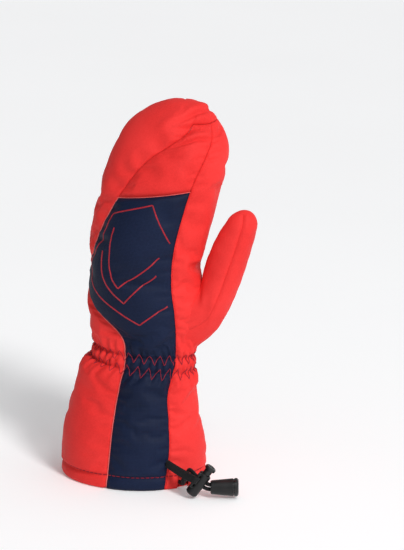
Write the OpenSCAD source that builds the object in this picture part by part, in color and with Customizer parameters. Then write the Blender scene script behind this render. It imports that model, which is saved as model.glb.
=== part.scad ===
// Junior ski mitten for the left hand, standing on the hem of its cuff.
// +Z runs from the cuff to the fingertips, -Y is the back of the hand, +Y is the palm
// and +X is the thumb side. The origin is the middle of the cuff's mouth, in the plane of the hem.
// All sizes are in millimetres.

/* [Overall size] */
// Height from the hem to the fingertips
mitten_h = 233; // [225:1:245]
// Half width of the cuff at the hem
cuff_w = 44.6; // [43:0.2:46]
// Half depth of the cuff at the hem
cuff_d = 34; // [32:0.5:36]
// Half width at the gathered wrist
wrist_w = 30.4; // [30:0.2:33]
// Half depth at the gathered wrist
wrist_d = 21.5; // [21:0.5:23]
// Half width of the hand at the knuckles
hand_w = 35; // [34:0.5:36]
// Half depth of the hand at the knuckles
hand_d = 26; // [25:0.5:28]

/* [Cloth] */
// Thickness of the outer fabric
shell_t = 0.8; // [0.6:0.1:0.9]
// Thickness of the insulation over the hand
wadding_t = 3.2; // [2:0.1:3.4]
// Thickness of the insulation round the thumb
thumb_wadding_t = 2; // [1.2:0.1:2.2]
// Thickness of the lining
lining_t = 0.8; // [0.5:0.1:0.9]
// Gap left along each seam, as a part of one grid step
seam_gap = 0.02; // [0.01:0.01:0.03]

/* [Wrist elastic] */
// Half height of each elastic band, in grid steps
elastic_half = 0.16; // [0.1:0.02:0.18]
// Height of the zigzag stitching, in grid steps
zigzag_half = 0.2; // [0.1:0.05:0.24]
// Zigzags round the wrist in each row
zigzags = 30; // [20:1:36]
// Diameter of the sewing thread
thread_d = 0.7; // [0.5:0.1:0.9]

/* [Drawcord and lock] */
// Diameter of the elastic drawcord
cord_d = 2.5; // [2:0.1:2.6]
// Outer radius of the cord lock's barrel
lock_r = 3.8; // [3.8:0.1:4]
// Travel of the lock's button
button_travel = 3; // [2:0.1:3]
// Length of the moulded cord end
bell_len = 17; // [16:0.5:18]

/* [Pair clip] */
// Width of the clip's webbing
clip_web_w = 10; // [8:0.5:10]
// Thickness of the webbing
web_t = 1.1; // [0.9:0.1:1.2]

/* [Hidden] */

red = "#e3322e";
navy = "#1c2742";
black = "#1a1a1c";
eps = 0.01;

// Ring stations up the mitten: height, centre x, centre y, half width, half depth and the
// slope of the ring across the hand. The last one mirrors the tip's curve past the fingertip.
rings = [
  [0,                 0,    0,    cuff_w,          cuff_d,          0],
  [0.1027 * mitten_h, 0,    0,    0.95 * cuff_w,   0.94 * cuff_d,   -0.03],
  [0.1892 * mitten_h, 1.2,  0,    0.845 * cuff_w,  0.825 * cuff_d,  -0.10],
  [0.2665 * mitten_h, 3.7,  0,    1.123 * wrist_w, 1.146 * wrist_d, -0.15],
  [0.3410 * mitten_h, 7,    0,    wrist_w,         wrist_d,         -0.09],
  [0.4060 * mitten_h, 7.9,  0,    1.03 * wrist_w,  1.05 * wrist_d,  -0.07],
  [0.4720 * mitten_h, 7.9,  0,    0.96 * hand_w,   0.92 * hand_d,   -0.04],
  [0.5493 * mitten_h, 7.6,  0.3,  0.94 * hand_w,   0.96 * hand_d,   0],
  [0.6439 * mitten_h, 9.8,  1,    0.96 * hand_w,   hand_d,          0.03],
  [0.7790 * mitten_h, 17.2, 4.4,  hand_w,          hand_d,          0.12],
  [0.8690 * mitten_h, 21.9, 8.6,  0.96 * hand_w,   0.9 * hand_d,    0.05],
  [0.9300 * mitten_h, 23.8, 12.4, 0.795 * hand_w,  0.71 * hand_d,   0],
  [0.9740 * mitten_h, 26,   15,   0.51 * hand_w,   0.46 * hand_d,   0],
  [mitten_h,          28.6, 17,   0,               0,               0],
  [0.9740 * mitten_h, 31.2, 19,   -0.51 * hand_w,  -0.46 * hand_d,  0]
];
tip = 13;

// Angles of the four long seams at each station, from +X towards the palm:
// ulnar-back, radial-back, radial-palm and ulnar-palm.
seams = [
  [-100, -52, 40, 150],
  [-98,  -46, 40, 150],
  [-98,  -44, 48, 150],
  [-99,  -46, 55, 148],
  [-101, -38, 50, 146],
  [-109, -40, 44, 144],
  [-150, -45, 42, 140],
  [-172, -47, 42, 138],
  [-152, -48, 42, 138],
  [-127, -47, 42, 138],
  [-103, -39, 42, 138],
  [-66,  -24, 42, 138],
  [-50,  -14, 42, 138],
  [-50,  -14, 42, 138],
  [-50,  -14, 42, 138]
];

// Grid of the outer fabric: rows as station numbers, and eight columns between two seams.
shell_rows = [0, 0.33, 0.67, 1, 1.5, 2, 2.5, 3, 3.4, 3.8, 4.2, 4.6, 5, 5.5, 6, 6.5, 7, 7.5, 8,
  8.5, 9, 9.5, 10, 10.5, 11, 11.5, 12, 12.5, tip];
per_panel = 8;
shell_cols = 4 * per_panel;
shell_last = len(shell_rows) - 1;
hem_row = 1;
wrist_row = 11;
knuckle_row = 20;
cap_row = 25;
cord_slot_col = 9;

// Raised print: how far its middle stands off the cloth, and its radius
print_lift = 0.65;
print_r = 0.45;

// Grid of the inner layers over the hand: fewer rows, and columns evenly spaced.
inner_rows = [4.5, 4.8, 5.6, 6.4, 7.2, 8, 9, 10, 10.7, 11.3, 11.9, 12.5, tip];
inner_cols = 20;
inner_start = -20;
inner_hole_rows = [1, 3];
inner_hole_cols = [0, 3];
cuff_rows = [0.4, 1, 2, 3, 3.46, 3.78, 3.96, 4.28, 4.35];
band_cols = 24;

// Offsets inwards from the outer surface to each layer's outer face.
insert_off = shell_t + 0.7;
insert_t = 0.4;
wadding_off = insert_off + insert_t + 0.2;
lining_gap = 0.3;
elastic_off = shell_t + 0.5;
elastic_t = 1;
// Stations of the two elastic rows and of the hem's stitching
elastic_at = [3.62, 4.12];
hem_stitch_at = 0.36;
stitch_lift = 0.25;
hem_h = 9;
tunnel_w = 3.4;
cuff_lining_off = 2.8;

// Thumb stations: the crotch side's x and z, the outer side's x and z, centre y and half
// depth. The last one mirrors the tip's curve past the thumb's tip.
thumb_rings = [
  [43.8, 123.2, 46,   86,    2.4, 12],
  [44,   124.5, 52,   96,    2.8, 12.6],
  [44.1, 126,   57.4, 105,   3.2, 12.8],
  [44.3, 128,   61.5, 114,   3.6, 12.6],
  [44.8, 131,   65,   123,   4,   12.2],
  [46.5, 138,   68.7, 133.5, 4,   11.8],
  [50,   146.8, 72.2, 144,   4,   11.4],
  [54,   155.4, 75,   155.8, 3.8, 10.8],
  [58,   162.3, 76,   163.3, 3.6, 9.4],
  [62,   167.5, 73.8, 168.6, 3.4, 6.4],
  [68.3, 171,   68.3, 171,   3.2, 0],
  [73.8, 168.6, 62,   167.5, 3.4, -6.4]
];
thumb_tip = 11;
thumb_cols = 20;
thumb_seam = -68;
gusset_rows = [0, 0.5, 1, 2, 3, 4, 4.95];
gusset_lining_rows = [1.8, 2.5, 3.2, 4, 4.9];
thumb_rows = [5, 5.7, 6.5, 7.3, 8, 8.7, 9.3, 9.8, 10.3, 10.7, thumb_tip];
thumb_inner_rows = [5.1, 6.5, 8, 9, 9.8, 10.5, thumb_tip];
// Base of the thumb on the hand: station, angle, and how far each reaches.
thumb_base = [5.55, 2];
thumb_base_reach = [1.15, 28];
thumb_hole_share = 0.8;
foot_lift = 0.35;
thumb_wadding_off = shell_t + 0.5;
thumb_lining_off = thumb_wadding_off + thumb_wadding_t + 0.2;

// Drawcord: where the two strands leave the hem, and their hand-laid routes through the lock
// and into the bell.
cord_exit = -35;
cord_z = 4;
cord_off = shell_t + 0.5 + cord_d / 2;
cord_sides = 8;
tail_a = [[37.6, -18.4, 4], [39.5, -22.2, 6.3], [41.2, -23.9, 9.8], [42.5, -26.3, 13.8],
  [45.3, -30.9, 15.7], [49.5, -34, 13.7], [53.4, -33.6, 10.8], [56.4, -32.6, 8.6],
  [59.4, -31.7, 8], [63, -30.7, 8]];
tail_b = [[35.4, -20.8, 4], [37.4, -23.6, 4.1], [39, -25.6, 5.1], [39.9, -28.7, 8.8],
  [44.1, -31.1, 12.5], [47.7, -34.5, 11.3], [50.8, -34.3, 9.2], [54.6, -33, 6.2],
  [57.8, -32.2, 5.3], [63, -30.7, 5.3]];

// Cord lock: its centre, the turn of the hardware about Z and the barrel's lean.
hardware_turn = 15;
lock_at = [52, -33.7, 10.5];
lock_lean = 37;
lock_bottom = -10;
lock_top = 5.5;
lock_bore = 2.7;
stem_r = 2.5;
strand_mid = -0.5;
strand_up = 1.35;
cord_hole = cord_d / 2 + 0.45;
button_head = [3.5, 2.2];
button_gap = button_travel + 0.5;
stem_bottom = -4.6;
spring_r = 1.8;
wire_r = 0.25;
spring_turns = 4;
ear_turn = 230;
ear_r = 6.4;
ear_bar_r = 0.8;
ear_z = 4.6;
ear_t = 1.2;
bar_slack = 0.15;
// Where the lock's webbing leaves the seam of the cuff
lock_web_at = [28.9, -26.2, 17];
lock_web_w = 7.6;

// Bell-shaped cord end: middle of its narrow end, then its radii.
bell_at = [57.8, -32.1, 6.6];
bell_r = [4.2, 5.4];
bell_cap_len = 3.4;
bell_cap_r = 5.6;
bell_bore = [2.9, 3.9];
bell_neck = 3;
plug_len = 1.4;
knot_r = 2.6;
knot_z = 8.3;
knot_flat = 0.6;

// Woven tab: its station and angle, how far its middle stands out, and its turn
label_at = [1.1, 150];
label_out = 3.8;
label_turn = 144;
label_size = [5.6, 1.4, 10];

// Pair clip, hung from the radial-palm seam below the wrist
clip_at = [24.3, 22.1, 60];
clip_turn = 63;
clip_lean = 10;
clip_w = 12;
clip_t = 3;
clip_bar_z = -9;
clip_bar_r = 1;
prong_l = 10;
prong_t = 1.3;

// Catmull-Rom curve through the entries of a list, at position t
function spline(t, list) = let(
    i = min(floor(t), len(list) - 2),
    f = t - i,
    b = list[i],
    c = list[i + 1],
    a = i > 0 ? list[i - 1] : 2 * b - c,
    d = i + 2 < len(list) ? list[i + 2] : 2 * c - b)
  0.5 * (2 * b + (c - a) * f + (2 * a - 5 * b + 4 * c - d) * f * f
    + (3 * b - a - 3 * c + d) * f * f * f);

function unit(v) = v / norm(v);
function mix(a, b, f) = a + (b - a) * f;
function ramp(x, lo, hi) = min(1, max(0, (x - lo) / (hi - lo)));

// Value of a list of numbers at a fractional index
function between(list, r) = let(i = min(floor(r), len(list) - 2)) mix(list[i], list[i + 1], r - i);

// Outer surface of the hand and cuff at station s and angle th
function skin(s, th) = let(r = spline(s, rings), x = r[3] * cos(th), y = r[4] * sin(th))
  [r[1] + x, r[2] + y, r[0] + r[5] * x];

// Outward direction of that surface; level at the hem, and along the fingers at the tip
function skin_out(s, th) = s >= tip ? tip_dir() : let(
    up = skin(s + eps, th) - skin(max(s - eps, 0), th),
    round = skin(s, th + 1) - skin(s, th - 1),
    n = unit(cross(round, up)))
  s == 0 ? unit([n[0], n[1], 0]) : n;
function tip_dir() = let(v = rings[tip] - rings[tip - 1]) unit([v[1], v[2], v[0]]);

// A point of a layer that lies off millimetres inside the outer surface
function layer(s, th, off) = skin(s, th) - off * skin_out(s, th);

// Angle of column c of the outer fabric's grid, with the seams on every eighth column
function column_angle(s, c) = let(
    k = spline(s, seams),
    edge = [k[0], k[1], k[2], k[3], k[0] + 360],
    w = (c + shell_cols) % shell_cols,
    i = floor(w / per_panel))
  mix(edge[i], edge[i + 1], w / per_panel - i);

function shell_at(r, c, off) = let(s = between(shell_rows, r)) layer(s, column_angle(s, c), off);

function thumb_ring(k, psi) = let(
    r = spline(k - 1, thumb_rings),
    m = [(r[0] + r[2]) / 2, r[4], (r[1] + r[3]) / 2],
    h = [(r[2] - r[0]) / 2, 0, (r[3] - r[1]) / 2])
  m + h * cos(psi) + [0, r[5] * sin(psi), 0];

function thumb_out(k, psi) = k >= thumb_tip ? unit([0.25, 0, 1]) :
  unit(cross(thumb_ring(k, psi + 1) - thumb_ring(k, psi - 1),
    thumb_ring(k + eps, psi) - thumb_ring(max(k - eps, 1), psi)));

// Foot of the thumb, laid on the hand's surface and drawn in by off
function thumb_foot(psi, off) = layer(
  thumb_base[0] - (thumb_base_reach[0] - off / 16) * cos(psi),
  thumb_base[1] + (thumb_base_reach[1] - off * 1.8) * sin(psi), -foot_lift);

function thumb_at(k, psi, off) = k >= 1 ? thumb_ring(k, psi) - off * thumb_out(k, psi) :
  mix(thumb_foot(psi, off), thumb_ring(1, psi) - off * thumb_out(1, psi), k);

// Whether a cell of the outer fabric's grid lies well inside the thumb's foot
function under_thumb(r, c) = let(
    s = between(shell_rows, r + 0.5),
    across = (column_angle(s, c + 0.5) - thumb_base[1]) / thumb_base_reach[1])
  norm([(s - thumb_base[0]) / thumb_base_reach[0], across]) < thumb_hole_share;

// Closed solid made of the cells of a grid that has(row, column) picks, between the faces
// at(row, column, outer) and at(row, column, inner). Rows run up, columns run round, and a
// grid with a pole closes to one point at its last row. Edges draw in by seam_gap.
module patch(rows, cols, at, has, outer, inner, pole = false, gap = seam_gap) {
  cell = function(r, c) (r >= 0 && r < rows && has(r, (c + cols) % cols)) ? 1 : 0;
  step = function(v) gap * sign(v);
  side_r = function(r, c) r == 0 ? 0 :
    step(cell(r, c) + cell(r, c - 1) - cell(r - 1, c) - cell(r - 1, c - 1));
  side_c = function(r, c)
    step(cell(r, c) + cell(r - 1, c) - cell(r, c - 1) - cell(r - 1, c - 1));
  point = function(r, c, off) (pole && r == rows) ? at(r, 0, off) :
    at(r + side_r(r, c), c + side_c(r, c), off);
  used = [for (r = [0:rows]) for (c = [0:cols - 1])
    if ((pole && r == rows) ? c == 0
      : cell(r, c) + cell(r, c - 1) + cell(r - 1, c) + cell(r - 1, c - 1) > 0) [r, c]];
  place = [for (r = [0:rows]) [for (c = [0:cols - 1])
    (pole && r == rows) || cell(r, c) + cell(r, c - 1) + cell(r - 1, c) + cell(r - 1, c - 1) > 0
      ? 1 : 0]];
  // number of used points before each row, then inside the row
  in_row = [for (r = [0:rows]) (pole && r == rows) ? 1 : len([for (v = place[r]) if (v == 1) v])];
  before = [for (r = 0, n = 0; r <= rows; n = n + in_row[r], r = r + 1) n];
  count = len(used);
  inside = [for (r = [0:rows])
    [for (c = 0, n = 0; c < cols; n = n + place[r][c], c = c + 1) n]];
  id = function(r, c, k) k * count
    + ((pole && r == rows) ? before[rows] : before[r] + inside[r][(c + cols) % cols]);
  wall = function(a, b) [[id(b[0], b[1], 0), id(a[0], a[1], 0), id(a[0], a[1], 1)],
    [id(b[0], b[1], 0), id(a[0], a[1], 1), id(b[0], b[1], 1)]];
  faces = [for (r = [0:rows - 1]) for (c = [0:cols - 1]) if (cell(r, c) == 1)
    each concat(
      [[id(r, c, 0), id(r + 1, c, 0), id(r + 1, c + 1, 0)],
        [id(r, c, 1), id(r + 1, c + 1, 1), id(r + 1, c, 1)],
        [id(r, c, 0), id(r + 1, c + 1, 0), id(r, c + 1, 0)],
        [id(r, c, 1), id(r, c + 1, 1), id(r + 1, c + 1, 1)]],
      cell(r, c - 1) == 0 ? wall([r, c], [r + 1, c]) : [],
      cell(r, c + 1) == 0 ? wall([r + 1, c + 1], [r, c + 1]) : [],
      cell(r - 1, c) == 0 ? wall([r, c + 1], [r, c]) : [],
      cell(r + 1, c) == 0 && !(pole && r + 1 == rows) ? wall([r + 1, c], [r + 1, c + 1]) : [])];
  polyhedron(
    points = concat([for (v = used) point(v[0], v[1], outer)],
      [for (v = used) point(v[0], v[1], inner)]),
    faces = [for (f = faces) if (f[0] != f[1] && f[1] != f[2] && f[0] != f[2]) f]);
}

// A piece of the outer fabric
module shell_piece(has) patch(shell_last, shell_cols, function(r, c, off) shell_at(r, c, off),
  has, 0, shell_t, pole = true);

// A layer inside the hand, open at the thumb; off(s) is its outer face and t(s) its thickness
module hand_layer(off, t) patch(len(inner_rows) - 1, inner_cols,
  function(r, c, deep) let(s = between(inner_rows, r))
    layer(s, inner_start + c * 360 / inner_cols, off(s) + deep * t(s)),
  function(r, c) !(within(r, inner_hole_rows) && within(c, inner_hole_cols)),
  0, 1, pole = true);

// A band right round the mitten between rows of stations
module band(rows, off, t) patch(len(rows) - 1, band_cols,
  function(r, c, deep) let(s = between(rows, r)) layer(s, c * 360 / band_cols, off(s) + deep * t),
  function(r, c) true, 0, 1, gap = 0);

// A piece of the thumb between rows of stations
module thumb_piece(rows, has, outer, inner, pole) patch(len(rows) - 1, thumb_cols,
  function(r, c, off) thumb_at(between(rows, r), thumb_seam + c * 360 / thumb_cols, off),
  has, outer, inner, pole = pole, gap = seam_gap);

function within(v, span) = v >= span[0] && v < span[1];
function panel_of(c) = floor(c / per_panel);

// Tube of radius r along a list of points, closed at both ends or joined into a ring
module tube(path, r, sides, ring = false) {
  n = len(path);
  ahead = function(i) ring ? path[(i + 1) % n] : path[min(i + 1, n - 1)];
  back = function(i) ring ? path[(i + n - 1) % n] : path[max(i - 1, 0)];
  side = function(i) let(t = unit(ahead(i) - back(i)), h = cross(t, [0, 0, 1]))
    norm(h) > 0.05 ? unit(h) : unit(cross(t, [0, 1, 0]));
  last = ring ? n - 1 : n - 2;
  id = function(i, k) (i % n) * sides + k % sides;
  polyhedron(
    points = [for (i = [0:n - 1]) let(t = unit(ahead(i) - back(i)), u = side(i), v = cross(u, t))
      for (k = [0:sides - 1]) let(a = (k + 0.5) * 360 / sides)
        path[i] + r * (cos(a) * u + sin(a) * v)],
    faces = concat(
      [for (i = [0:last]) for (k = [0:sides - 1])
        each [[id(i, k), id(i, k + 1), id(i + 1, k + 1)], [id(i, k), id(i + 1, k + 1), id(i + 1, k)]]],
      ring ? [] : [[for (k = [sides - 1:-1:0]) id(0, k)], [for (k = [0:sides - 1]) id(n - 1, k)]]));
}

// Points at even steps along the curve through a route
function along(route, steps) = [for (i = [0:steps]) spline(i * (len(route) - 1) / steps, route)];

module back_panel() color(navy)
  shell_piece(function(r, c) panel_of(c) == 0 && r < knuckle_row);

module upper_back_panel() color(red)
  shell_piece(function(r, c) panel_of(c) == 0 && r >= knuckle_row && r < cap_row);

// Runs from the hem up the little finger's side and over the fingertips
module ulnar_side_panel() color(red)
  shell_piece(function(r, c) panel_of(c) == 3 || r >= cap_row);

// Holds the thumb's opening, and the slot in the hem that the drawcord leaves by
module radial_side_panel() color(red)
  shell_piece(function(r, c) panel_of(c) == 1 && r < cap_row
    && !under_thumb(r, c)
    && !(r < hem_row && c == cord_slot_col));

module palm_panel() color(black)
  shell_piece(function(r, c) panel_of(c) == 2 && r >= wrist_row && r < cap_row);

module palm_cuff_panel() color(red)
  shell_piece(function(r, c) panel_of(c) == 2 && r < wrist_row);

// Turned-in hem: the flange that the cuff stands on and the inner wall of the cord tunnel
module hem_facing() {
  out = shell_t + 0.5;
  wall = shell_t + tunnel_w;
  profile = [[out, 0], [wall + shell_t, 0], [wall + shell_t, hem_h], [wall, hem_h],
    [wall, shell_t], [out, shell_t]];
  n = len(profile);
  cols = 2 * band_cols;
  id = function(c, k) (c % cols) * n + k % n;
  color(red) polyhedron(
    points = [for (c = [0:cols - 1]) let(th = c * 360 / cols) for (p = profile)
      skin(0, th) - p[0] * skin_out(0, th) + [0, 0, p[1]]],
    faces = [for (c = [0:cols - 1]) for (k = [0:n - 1])
      each [[id(c, k), id(c, k + 1), id(c + 1, k + 1)], [id(c, k), id(c + 1, k + 1), id(c + 1, k)]]]);
}

module thumb_gusset() color(red)
  thumb_piece(gusset_rows, function(r, c) true, 0, shell_t, false);

module thumb_back_panel() color(red)
  thumb_piece(thumb_rows, function(r, c) c >= thumb_cols / 2 && r < len(thumb_rows) - 2,
    0, shell_t, true);

// The half nearer the palm, which also closes over the tip
module thumb_palm_panel() color(red)
  thumb_piece(thumb_rows, function(r, c) c < thumb_cols / 2 || r >= len(thumb_rows) - 2,
    0, shell_t, true);

module waterproof_insert() color("gainsboro")
  hand_layer(function(s) insert_off, function(s) insert_t);

module hand_insulation() color("white")
  hand_layer(function(s) wadding_off, function(s) wadding_at(s));

module hand_lining() color("dimgray")
  hand_layer(function(s) wadding_off + wadding_at(s) + lining_gap, function(s) lining_t);

// Insulation thins out towards the gathered wrist
function wadding_at(s) = mix(1, wadding_t, ramp(s, 4.5, 5.6));

module thumb_insulation() color("white")
  thumb_piece(thumb_inner_rows, function(r, c) true, thumb_wadding_off,
    thumb_wadding_off + thumb_wadding_t, true);

module thumb_lining() color("dimgray")
  thumb_piece(thumb_inner_rows, function(r, c) true, thumb_lining_off,
    thumb_lining_off + lining_t, true);

// Soft sleeve that carries the lining from the hand into the thumb
module gusset_lining() color("dimgray")
  thumb_piece(gusset_lining_rows, function(r, c) true, thumb_wadding_off,
    thumb_wadding_off + lining_t, false);

module cuff_lining() color("dimgray")
  band(cuff_rows, function(s) mix(shell_t + tunnel_w, cuff_lining_off, ramp(s, 0.4, 1)), 0.6);

module wrist_elastic(s) color("ivory")
  band([s - elastic_half, s + elastic_half], function(s) elastic_off, elastic_t);

module wrist_elastic_lower() wrist_elastic(elastic_at[0]);
module wrist_elastic_upper() wrist_elastic(elastic_at[1]);

// Two rows of zigzag thread round the outside, over the elastic
module wrist_stitching() color("crimson")
  for (s = elastic_at)
    tube([for (i = [0:2 * zigzags - 1]) let(up = i % 2 == 0 ? zigzag_half : -zigzag_half)
      layer(s + up, i * 180 / zigzags, -thread_d / 2 - stitch_lift)], thread_d / 2, 4, ring = true);

module hem_stitching() color("crimson")
  tube([for (i = [0:2 * band_cols - 1])
    layer(hem_stitch_at, i * 180 / band_cols, -thread_d / 2 - stitch_lift)], thread_d / 2, 4, ring = true);

// Raised line print on the back: a contour inside the panel's edge and two nested chevrons.
// Points are station and column.
module back_print() {
  contour = [[8.1, 7.5], [8.8, 4.7], [8.65, 1.2], [7.5, 1.3], [6.75, 2.2], [5.65, 4.6], [6.3, 7.5]];
  chevron = [[7.9, 2.3], [6.4, 4.5], [7.3, 6.9]];
  color("darkred") {
    print_line(contour, 24);
    print_line(chevron, 10);
    print_line([for (p = chevron) p + [0.5, 0]], 10);
  }
}

// Straight runs on the cloth through a route's corners
module print_line(route, steps) tube([for (i = [0:steps])
  let(p = between(route, i * (len(route) - 1) / steps))
    layer(p[0], column_angle(p[0], p[1]), -print_lift)], print_r, 4);

// Folded woven tab in the ulnar-palm seam of the cuff
module side_label() color(black)
  translate(layer(label_at[0], label_at[1], -label_out)) rotate([0, 0, label_turn])
    cube(label_size, center = true);

// Elastic cord right round inside the hem, from one side of the slot to the other
module drawcord_loop() color(black)
  tube([for (i = [0:band_cols * 2]) let(th = cord_exit + 6 + i * 348 / (band_cols * 2))
    skin(0, th) - cord_off * skin_out(0, th) + [0, 0, cord_z]], cord_d / 2, cord_sides);

module drawcord_tail_a() color(black) tube(along(tail_a, 18), cord_d / 2, cord_sides);
module drawcord_tail_b() color(black) tube(along(tail_b, 18), cord_d / 2, cord_sides);

// Frame of the cord lock: Z along the barrel, X along the strands
module at_lock() translate(lock_at) rotate([0, 0, hardware_turn]) rotate([0, lock_lean, 0])
  children();

// Slot for the two strands, stacked along the barrel; extra stretches it up and down
module strand_slot(down, up) {
  low = strand_mid - strand_up - down;
  high = strand_mid + strand_up + up;
  for (z = [low, high])
    translate([0, 0, z]) rotate([0, 90, 0]) cylinder(r = cord_hole, h = 14, center = true, $fn = 32);
  translate([0, 0, (low + high) / 2]) cube([14, 2 * cord_hole, high - low], center = true);
}

module cord_lock_barrel() color(black) at_lock() {
  difference() {
    union() {
      translate([0, 0, lock_bottom]) rotate_extrude($fn = 48)
        polygon([[0, 0], [lock_r - 0.8, 0], [lock_r, 0.8], [lock_r, lock_top - lock_bottom - 0.5],
          [lock_r - 0.5, lock_top - lock_bottom], [0, lock_top - lock_bottom]]);
      for (z = [-ear_z, ear_z]) rotate([0, 0, ear_turn])
        translate([0, -1, z - ear_t / 2]) cube([ear_r, 2, ear_t]);
      rotate([0, 0, ear_turn]) translate([ear_r, 0, 0])
        cylinder(r = ear_bar_r, h = 2 * ear_z + ear_t, center = true, $fn = 24);
    }
    translate([0, 0, lock_bottom + 1]) cylinder(r = lock_bore, h = 20, $fn = 48);
    strand_slot(0, 0);
  }
}

// Plunger: its slot is longer than the barrel's, so it can travel past the cord
module cord_lock_button() color("#2a2a2d") at_lock() difference() {
  union() {
    translate([0, 0, stem_bottom])
      cylinder(r = stem_r, h = lock_top + button_gap - stem_bottom + eps, $fn = 48);
    translate([0, 0, lock_top + button_gap]) rotate_extrude($fn = 48)
      polygon([[0, 0], [button_head[0] - 0.3, 0], [button_head[0], 0.4],
        [button_head[0], button_head[1] - 0.6], [button_head[0] - 0.6, button_head[1]],
        [1.6, button_head[1]], [1.3, button_head[1] - 0.4], [0, button_head[1] - 0.4]]);
  }
  strand_slot(0, button_travel);
}

module cord_lock_spring() {
  low = lock_bottom + 1 + wire_r + 0.1;
  high = stem_bottom - wire_r - 0.1;
  steps = 10 * spring_turns;
  color("silver") at_lock() tube([for (i = [0:steps]) [spring_r * cos(36 * i),
    spring_r * sin(36 * i), mix(low, high, i / steps)]], wire_r, 6);
}

// Bar of the lock's ear, in the mitten's frame
function turn_y(v, a) = [v[0] * cos(a) + v[2] * sin(a), v[1], v[2] * cos(a) - v[0] * sin(a)];
function turn_z(v, a) = [v[0] * cos(a) - v[1] * sin(a), v[0] * sin(a) + v[1] * cos(a), v[2]];
function from_lock(v) = lock_at + turn_z(turn_y(v, lock_lean), hardware_turn);
ear_mid = from_lock([ear_r * cos(ear_turn), ear_r * sin(ear_turn), 0]);

// Doubled webbing from the cuff's seam to the bar of the lock's ear
module lock_webbing() {
  run = ear_mid - lock_web_at;
  loop_r = ear_bar_r + bar_slack;
  color(black) difference() {
    hull() {
      translate(lock_web_at) rotate([0, 0, atan2(run[1], run[0])])
        cube([0.2, 2 * web_t, lock_web_w], center = true);
      at_ear_bar() cylinder(r = loop_r + web_t, h = lock_web_w - 1, center = true, $fn = 32);
    }
    at_ear_bar() cylinder(r = loop_r, h = 2 * lock_web_w, center = true, $fn = 32);
  }
}

module at_ear_bar() at_lock() rotate([0, 0, ear_turn]) translate([ear_r, 0, 0]) children();

// Frame of the moulded cord end: Z from its narrow end to its cap
module at_bell() translate(bell_at) rotate([0, 0, hardware_turn]) rotate([0, 90, 0]) children();

module cord_end_bell() color(black) at_bell() difference() {
  rotate_extrude($fn = 48) polygon([[0, 0], [bell_r[0] - 0.6, 0], [bell_r[0], 0.6],
    [bell_r[1], bell_len - bell_cap_len], [0, bell_len - bell_cap_len]]);
  translate([0, 0, -1]) cylinder(r = bell_bore[0], h = bell_neck + 2, $fn = 48);
  translate([0, 0, bell_neck]) cylinder(r = bell_bore[1], h = bell_len, $fn = 48);
}

// Ringed cap that closes the wide end
module cord_end_cap() color("#2a2a2d") at_bell() {
  translate([0, 0, bell_len - bell_cap_len]) rotate_extrude($fn = 48)
    polygon([[0, 0.05], [bell_cap_r - 0.5, 0.05], [bell_cap_r - 0.5, 0.9], [bell_cap_r, 1.1],
      [bell_cap_r, bell_cap_len - 0.9], [bell_cap_r - 0.9, bell_cap_len], [0, bell_cap_len]]);
  translate([0, 0, bell_len - bell_cap_len - plug_len])
    cylinder(r = bell_bore[1] - 0.2, h = plug_len + 0.1, $fn = 48);
}

// Knot that holds both strands inside the bell
module cord_knot() color(black) at_bell() translate([0, 0, knot_z])
  rotate_extrude($fn = 32) polygon(concat([[0, -knot_r]],
    [for (a = [-90:15:90]) [knot_flat + knot_r * cos(a), knot_r * sin(a)]], [[0, knot_r]]));

// Frame of the pair clip: hinge line along Y, clip hanging down -Z, X away from the cuff
module at_clip() translate(clip_at) rotate([0, 0, clip_turn]) rotate([0, -clip_lean, 0])
  children();

// Strap that hangs from the seam and loops round the plug's bar
module clip_webbing() color(black) at_clip() rotate([90, 0, 0])
  linear_extrude(clip_web_w - 0.6, center = true) difference() {
    union() {
      translate([-web_t / 2, clip_bar_z]) square([web_t, -clip_bar_z]);
      translate([0, clip_bar_z]) circle(r = clip_bar_r + bar_slack + web_t, $fn = 40);
    }
    translate([0, clip_bar_z]) circle(r = clip_bar_r + bar_slack, $fn = 40);
  }

// Plug: a bar and two cheeks round the webbing, a shoulder, and a centre tongue
module clip_plug() color("#232326") at_clip() {
  shoulder = clip_bar_z - 3.4;
  translate([0, 0, clip_bar_z]) rotate([90, 0, 0])
    cylinder(r = clip_bar_r, h = clip_w - 1, center = true, $fn = 32);
  for (side = [-1, 1])
    translate([0, side * (clip_w / 2 - 0.4), (clip_bar_z + 1.2 + shoulder - 2) / 2])
      cube([clip_t, 0.8, clip_bar_z + 1.2 - shoulder + 2], center = true);
  translate([0, 0, shoulder - 1.2]) cube([clip_t, clip_w, 2.4], center = true);
  translate([0, 0, shoulder - 5.4]) cube([clip_t - 0.6, 5.4, 6.2], center = true);
  for (side = [-1, 1])
    translate([0, side * 2, shoulder - 8.4]) cube([clip_t - 1, 1, 0.8], center = true);
}

prong_root = clip_bar_z - 3.4 - 2.4 - 0.3;

// Springy side arm of the plug, hooked at its end
module clip_prong(side) color("#232326") at_clip() translate([0, 0, prong_root])
  rotate([90, 0, 90]) linear_extrude(clip_t - 0.4, center = true) scale([side, 1])
    polygon([[4, 0], [clip_w / 2, 0], [clip_w / 2, -4.4], [clip_w / 2 + 0.9, -6],
      [clip_w / 2 + 0.2, -prong_l + 1], [clip_w / 2 - 0.9, -prong_l],
      [clip_w / 2 - prong_t, -prong_l + 1], [clip_w / 2 - prong_t, -1.6], [4, -1]]);

module clip_prong_a() clip_prong(1);
module clip_prong_b() clip_prong(-1);

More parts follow.
